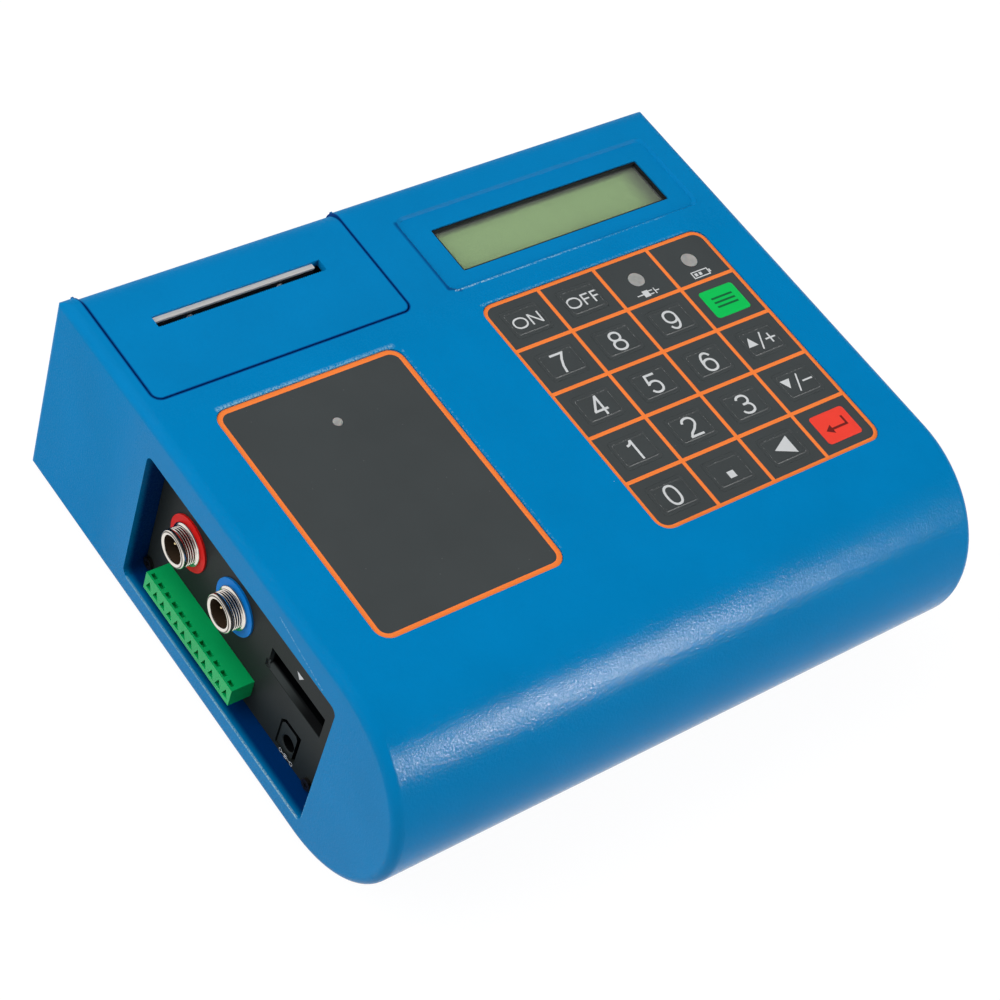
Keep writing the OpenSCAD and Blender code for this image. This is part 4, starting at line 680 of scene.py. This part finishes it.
# --- Printer mechanism and paper
# A black moulded frame under the lid carries the ground rubber roller, its nylon gears, the motor and the glazed
# print head. The roll of thermal paper turns on a nylon spindle in the bay.
dress("printer_frame", frame_black)
rubber_ground = moulded("ground_rubber", (0.022, 0.022, 0.023), 0.75, fineness=3500.0, height=0.125, mottle=0.1,
                        specular=0.2)
dress("platen_roller", rubber_ground)
dress("rubber_feet", rubber_ground)
nylon = moulded("natural_nylon", (0.72, 0.70, 0.62), 0.45, fineness=1800.0, height=0.04, mottle=0.04, specular=0.3)
for name in ("platen_gear", "motor_pinion", "paper_spindle"):
    dress(name, nylon)
head_glaze = moulded("head_glaze", (0.10, 0.085, 0.07), 0.2, fineness=900.0, height=0.025, mottle=0.15)
dress("print_head", head_glaze)
motor_can = moulded("motor_can", (0.50, 0.50, 0.51), 0.3, fineness=2200.0, height=0.03, mottle=0.05, metallic=1.0)
dress("stepper_motor", motor_can)
# The roll's end shows the edges of its wound layers
ROLL_MIDDLE, LAYERS = (0, 0.0705, 0.028), 9000.0
paper_white, paper_tree, paper_shader = material("thermal_paper")
paper_place = add(paper_tree, "TexCoord")
paper_off = add(paper_tree, "VectorMath", [(paper_place.outputs["Object"], 0), (ROLL_MIDDLE, 1)],
                operation="SUBTRACT")
paper_flat = add(paper_tree, "VectorMath", [(paper_off, 0), ((0, 1, 1), 1)], operation="MULTIPLY")
paper_radius = add(paper_tree, "VectorMath", [(paper_flat, 0)], operation="LENGTH")
paper_turn = add(paper_tree, "Math", [(paper_radius.outputs["Value"], 0), (LAYERS, 1)], operation="MULTIPLY")
paper_wave = add(paper_tree, "Math", [(paper_turn, 0)], operation="SINE")
paper_noise = add(paper_tree, "TexNoise", [(paper_flat, "Vector")], Scale=700.0)
paper_sum = add(paper_tree, "Math", [(paper_wave, 0), (paper_noise, 1)], operation="MULTIPLY")
paper_tone = add(paper_tree, "ValToRGB", [(paper_sum, "Fac")])
toned(paper_tone, (0.80, 0.80, 0.78, 1), (0.62, 0.62, 0.59, 1))
paper_bump = add(paper_tree, "Bump", [(paper_sum, "Height")], Strength=0.2, Distance=0.00005)
feed(paper_tree, paper_shader, Base_Color=paper_tone, Normal=paper_bump)
paper_shader.inputs["Roughness"].default_value = 0.7
dress("paper_roll", paper_white)

# --- Connector panel, power jack and their screws
# Black satin moulded panel, screwed to bosses at its corners with blackened screws. The triangle points at the card
# slot and the small sign below the jack gives the polarity of its plug.
panel_black = moulded("panel_black", (0.0175, 0.022, 0.022), 0.36, fineness=1600.0, height=0.075, mottle=0.08,
                      specular=0.07)
panel_tree = panel_black.node_tree
panel_x, panel_y, panel_z = add(panel_tree, "SeparateXYZ",
                                [(add(panel_tree, "TexCoord").outputs["Object"], 0)]).outputs
# Painted highlight on the card scoop's sloping lip, fading towards its front end; painted shade on that end and the
# slot behind it
LIP, SLOT, LIP_FOOT = (-0.10125, -0.10105), (-0.1000, -0.0994), (0.0338, 0.0342)
for lip_top, lip_end, colour in (((0.0425, 0.0385), (-0.0440, -0.0240), (0.045, 0.054, 0.054)),
                                 ((0.0440, 0.0436), (-0.0280, -0.0420), (0.003, 0.0035, 0.004))):
    over(panel_black, times(panel_tree, ramp(panel_tree, panel_x, *LIP), ramp(panel_tree, panel_z, *lip_top),
                            ramp(panel_tree, panel_z, *LIP_FOOT), ramp(panel_tree, panel_y, *lip_end)), colour)
over(panel_black, times(panel_tree, ramp(panel_tree, panel_x, *SLOT), ramp(panel_tree, panel_z, *LIP_FOOT),
                        ramp(panel_tree, panel_z, 0.0440, 0.0436)), (0.002, 0.0025, 0.003))
dress("connector_panel", panel_black)
jack_black = moulded("jack_black", (0.021, 0.026, 0.026), 0.34, fineness=1200.0, height=0.04, mottle=0.05,
                     specular=0.12)
dress("dc_jack", jack_black)
# Painted shade: the jack's sides and groove and the inside of its hole take this darker black
groove_painted_shade = moulded("groove_painted_shade", (0.003, 0.0035, 0.004), 0.6, fineness=1200.0, height=0.04, mottle=0.05,
                       specular=0.03)
# The jack's face is stepped: a deep groove runs along its top and its front side, and its hole has a turned-in rim
JACK_HOLE = (-37.1, 16.5)
JACK_OUTER = [(-41.55, 12.35), (-32.65, 12.35), (-32.65, 23.0), (-34.65, 24.95), (-41.55, 24.95)]
JACK_INNER = [(-40.1, 12.35), (-32.65, 12.35), (-32.65, 21.6), (-33.7, 22.9), (-39.2, 22.9), (-40.1, 21.9)]


def cut_at(shape, turns):
    """Where rays from the jack's hole at those angles meet an outline round it, in millimetres."""
    points = []
    for turn in turns:
        c, s = math.cos(turn), math.sin(turn)
        best = None
        for (y0, z0), (y1, z1) in zip(shape, shape[1:] + shape[:1]):
            y0, z0, y1, z1 = y0 - JACK_HOLE[0], z0 - JACK_HOLE[1], y1 - JACK_HOLE[0], z1 - JACK_HOLE[1]
            under = c * (z1 - z0) - s * (y1 - y0)
            if abs(under) < 1e-9:
                continue
            reach = (y0 * (z1 - z0) - z0 * (y1 - y0)) / under
            share = (y0 * s - z0 * c) / under
            if reach > 0 and -1e-9 <= share <= 1 + 1e-9:
                best = reach if best is None else min(best, reach)
        points.append((JACK_HOLE[0] + best * c, JACK_HOLE[1] + best * s))
    return points


jack_turns = {round(2 * math.pi * i / 48, 6) for i in range(48)}
for y, z in JACK_OUTER + JACK_INNER:
    jack_turns.add(round(math.atan2(z - JACK_HOLE[1], y - JACK_HOLE[0]) % (2 * math.pi), 6))
jack_turns = sorted(jack_turns)
outer, inner = cut_at(JACK_OUTER, jack_turns), cut_at(JACK_INNER, jack_turns)
jack_rings = [(-86.9, outer), (-99.0, outer), (-99.0, inner), (-100.8, inner)]
# The hole's rim and wall, its floor, and the pin that stands on it
for x, radius in ((-100.8, 3.1), (-100.55, 2.75), (-91.4, 2.75), (-91.4, 1.0), (-98.2, 1.0), (-98.6, 0.85),
                  (-98.8, 0.4)):
    jack_rings.append((x, [(JACK_HOLE[0] + radius * math.cos(t), JACK_HOLE[1] + radius * math.sin(t))
                           for t in jack_turns]))
bm = bmesh.new()
jack_verts = [[bm.verts.new((x * MM, y * MM, z * MM)) for y, z in loop] for x, loop in jack_rings]
bm.faces.new(jack_verts[0])
bm.faces.new(jack_verts[-1])
GROOVE_BANDS, PIN_BANDS = (0, 1, 2, 5, 6), (7, 8, 9)
for k, faces in enumerate(joined(bm, jack_verts)):
    for face in faces:
        face.material_index = 1 if k in GROOVE_BANDS else 2 if k in PIN_BANDS else 0
bmesh.ops.recalc_face_normals(bm, faces=bm.faces)
jack_body = placed("jack_body", mesh_of(bm, "jack_body", 28), jack_black, "case")
jack_body.data.materials.append(groove_painted_shade)
jack_body.data.materials.append(steel_bright)
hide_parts("dc_jack")
screw_black = moulded("screw_black", (0.075, 0.068, 0.062), 0.25, fineness=1500.0, height=0.05, mottle=0.1,
                      metallic=0.9)
dress("panel_screws", screw_black)


def side_shapes(name, shapes, x):
    """A mesh of flat polygons on the panel, each a list of (y, z) in millimetres."""
    made = bpy.data.meshes.new(name)
    points, faces = [], []
    for shape in shapes:
        faces.append(tuple(range(len(points) + len(shape) - 1, len(points) - 1, -1)))
        points += [(x, y * MM, z * MM) for y, z in shape]
    made.from_pydata(points, [], faces)
    return made


PANEL_X = -101.32 * MM
placed("sign_card", side_shapes("sign_card", [[(-35.9, 47.0), (-34.3, 44.9), (-32.7, 47.0)]], PANEL_X), pale_ink,
       "case")
MARK = 0.2
polarity = (stroke(arc(-37.9, 11.6, 0.2, 0.2, 0, 360, 2.0, 8), 0.38)
            + stroke(arc(-37.9, 11.6, 0.78, 0.78, 40, 320, 2.0, 12), MARK)
            + stroke([(-37.5, 11.6), (-36.2, 11.6)], MARK) + stroke([(-40.2, 11.6), (-38.75, 11.6)], MARK)
            + stroke(arc(-35.5, 11.6, 0.65, 0.65, 0, 360, 2.0, 14), MARK)
            + stroke(arc(-40.9, 11.6, 0.65, 0.65, 0, 360, 2.0, 14), MARK))
placed("sign_polarity", side_shapes("sign_polarity", polarity, PANEL_X), pale_ink, "case")

# --- Transducer sockets
# Turned brass shells, nickel plated, with a rounded mouth, a coarse cut thread and a collar that bears on a
# coloured washer. Inside each sits a dark brown insert with two gold pins.
nickel, nickel_tree, nickel_shader = material("nickel_plate")
nickel_place = add(nickel_tree, "TexCoord")
nickel_stain = add(nickel_tree, "TexNoise", [(nickel_place.outputs["Object"], "Vector")], Scale=500.0, Detail=4.0)
nickel_tone = add(nickel_tree, "ValToRGB", [(nickel_stain, "Fac")])
toned(nickel_tone, (0.66, 0.60, 0.53, 1), (0.93, 0.89, 0.83, 1))
nickel_rough = add(nickel_tree, "MapRange", [(nickel_stain, "Value")], To_Min=0.10, To_Max=0.24)
feed(nickel_tree, nickel_shader, Base_Color=nickel_tone, Roughness=nickel_rough)
nickel_shader.inputs["Metallic"].default_value = 1.0
# The thread's valleys are darker, partly with oil and dirt, partly as painted shade; the inside of the mouth is
# dark brown
nickel_flat = add(nickel_tree, "VectorMath", [(nickel_place.outputs["Object"], 0), ((0, 1, 1), 1)],
                  operation="MULTIPLY")
nickel_radius = add(nickel_tree, "VectorMath", [(nickel_flat, 0)], operation="LENGTH").outputs["Value"]
over(nickel, times(nickel_tree, ramp(nickel_tree, nickel_radius, 0.00585, 0.00555, high=0.92),
                   ramp(nickel_tree, nickel_radius, 0.0052, 0.00535)), (0.045, 0.037, 0.030))
nickel_x = add(nickel_tree, "SeparateXYZ", [(nickel_place.outputs["Object"], 0)]).outputs["X"]
over(nickel, times(nickel_tree, ramp(nickel_tree, nickel_radius, 0.00508, 0.00503, high=0.95),
                   ramp(nickel_tree, nickel_x, -0.10690, -0.10675)), (0.030, 0.022, 0.016))
dress("socket_nuts", nickel)
SOCKETS = {"upstream_socket": (22.4, 39.8), "downstream_socket": (-2.6, 39.8)}
THREAD_R, THREAD_DEPTH, THREAD_PITCH, THREAD_RUNOUT = 6.05, 0.60, 0.76, 0.35
THREAD_X = (-105.95, -102.95)
SHELL_FRONT = [(-91.9, 5.0), (-106.7, 5.0), (-106.7, 4.45), (-106.95, 4.42), (-107.12, 4.55), (-107.24, 4.78),
               (-107.3, 5.1), (-107.28, 5.4), (-107.2, 5.68), (-107.05, 5.9), (-106.85, 6.02), (-106.6, 6.05)]
SHELL_BACK = [(-102.85, 6.2), (-102.75, 6.7), (-102.55, 6.88), (-102.25, 6.9), (-101.98, 6.85), (-101.92, 6.6),
              (-101.92, 5.5), (-91.9, 5.5)]


def thread_radius(x, turn):
    """The radius of a one-start thread at a place along it and an angle round it, level at both ends."""
    wave = 0.5 - 0.5 * math.cos(2 * math.pi * (x - THREAD_X[0]) / THREAD_PITCH - turn)
    ends = min(1.0, (x - THREAD_X[0]) / THREAD_RUNOUT, (THREAD_X[1] - x) / THREAD_RUNOUT)
    return THREAD_R - THREAD_DEPTH * max(0.0, ends) * (1 - wave ** 0.6)


AROUND, STEPS = 72, 44
thread = [THREAD_X[0] + (THREAD_X[1] - THREAD_X[0]) * i / STEPS for i in range(STEPS + 1)]
for name, (y, z) in SOCKETS.items():
    bm = bmesh.new()
    rings = []
    for x, radius in SHELL_FRONT + [(x, None) for x in thread] + SHELL_BACK:
        loop = []
        for j in range(AROUND):
            turn = 2 * math.pi * j / AROUND
            r = thread_radius(x, turn) if radius is None else radius
            loop.append(bm.verts.new((x * MM, r * math.cos(turn) * MM, r * math.sin(turn) * MM)))
        rings.append(loop)
    joined(bm, rings, closed=True)
    bmesh.ops.recalc_face_normals(bm, faces=bm.faces)
    shell = placed(f"shell_{name}", mesh_of(bm, f"shell_{name}", 55), nickel, "case")
    shell.location = (0, y * MM, z * MM)
    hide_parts(name)
insert_brown = moulded("insert_brown", (0.045, 0.028, 0.016), 0.45, fineness=1500.0, height=0.05, mottle=0.1,
                       specular=0.4)
dress("socket_inserts", insert_brown)
PIN_TIP = [(-105.4, 0.001), (-105.37, 0.2), (-105.25, 0.38), (-105.0, 0.5), (-104.7, 0.55), (-98.3, 0.55)]
bm = bmesh.new()
for y, z in SOCKETS.values():
    for side in (-1.6, 1.6):
        rings = []
        for x, r in PIN_TIP:
            turns = [2 * math.pi * j / 20 for j in range(20)]
            rings.append([bm.verts.new((x * MM, (y + side + r * math.cos(t)) * MM,
                                        (z + r * math.sin(t)) * MM)) for t in turns])
        joined(bm, rings)
        bm.faces.new(list(reversed(rings[0])))
        bm.faces.new(rings[-1])
bmesh.ops.recalc_face_normals(bm, faces=bm.faces)
gold = moulded("gold_flash", (0.95, 0.76, 0.42), 0.25, fineness=2500.0, height=0.025, mottle=0.05, metallic=1.0)
for name in ("socket_pins", "terminal_pins"):
    dress(name, gold)
long_pins = placed("long_pins", mesh_of(bm, "long_pins", 50), gold, "case")
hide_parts("socket_pins")
dress("red_ring", moulded("red_washer", (0.76, 0.012, 0.010), 0.42, fineness=1500.0, height=0.06, mottle=0.05,
                          specular=0.2))
dress("blue_ring", moulded("blue_washer", (0.0, 0.21, 0.68), 0.42, fineness=1500.0, height=0.06, mottle=0.05,
                           specular=0.2))

# --- Terminal plug and header
# Green glass-filled nylon with flow marks, a wire funnel and a release slot for each pole.
terminal_green = moulded("terminal_green", (0.0, 0.42, 0.115), 0.42, fineness=900.0, height=0.06, mottle=0.08,
                         specular=0.3)
for name in ("terminal_plug", "terminal_header"):
    dress(name, terminal_green)
rounded_off = cad["terminal_plug"].modifiers.new("rounded_off", "BEVEL")
rounded_off.width = 0.14 * MM
rounded_off.segments = 2
rounded_off.angle_limit = math.radians(40)

# --- Boards and battery
# Fibreglass boards with green solder mask over their tracks, the keypad's switch layer, and the battery in its
# shrink wrap.
board_green, board_tree, board_shader = material("solder_mask")
board_place = add(board_tree, "TexCoord")
board_tracks = add(board_tree, "TexBrick", [(board_place.outputs["Object"], "Vector")], Scale=160.0)
board_tracks.inputs["Color1"].default_value = (0.010, 0.095, 0.035, 1)
board_tracks.inputs["Color2"].default_value = (0.014, 0.120, 0.045, 1)
board_tracks.inputs["Mortar"].default_value = (0.030, 0.190, 0.070, 1)
board_noise = add(board_tree, "TexNoise", [(board_place.outputs["Object"], "Vector")], Scale=900.0)
board_bump = add(board_tree, "Bump", [(board_noise, "Height")], Strength=0.15, Distance=0.00005)
feed(board_tree, board_shader, Base_Color=board_tracks, Normal=board_bump)
board_shader.inputs["Roughness"].default_value = 0.3
for name in ("main_board", "card_board", "lcd_board", "keypad_circuit"):
    dress(name, board_green)
dress("battery_pack", moulded("shrink_wrap", (0.03, 0.07, 0.33), 0.25, fineness=300.0, height=0.15, mottle=0.06,
                              specular=0.4))
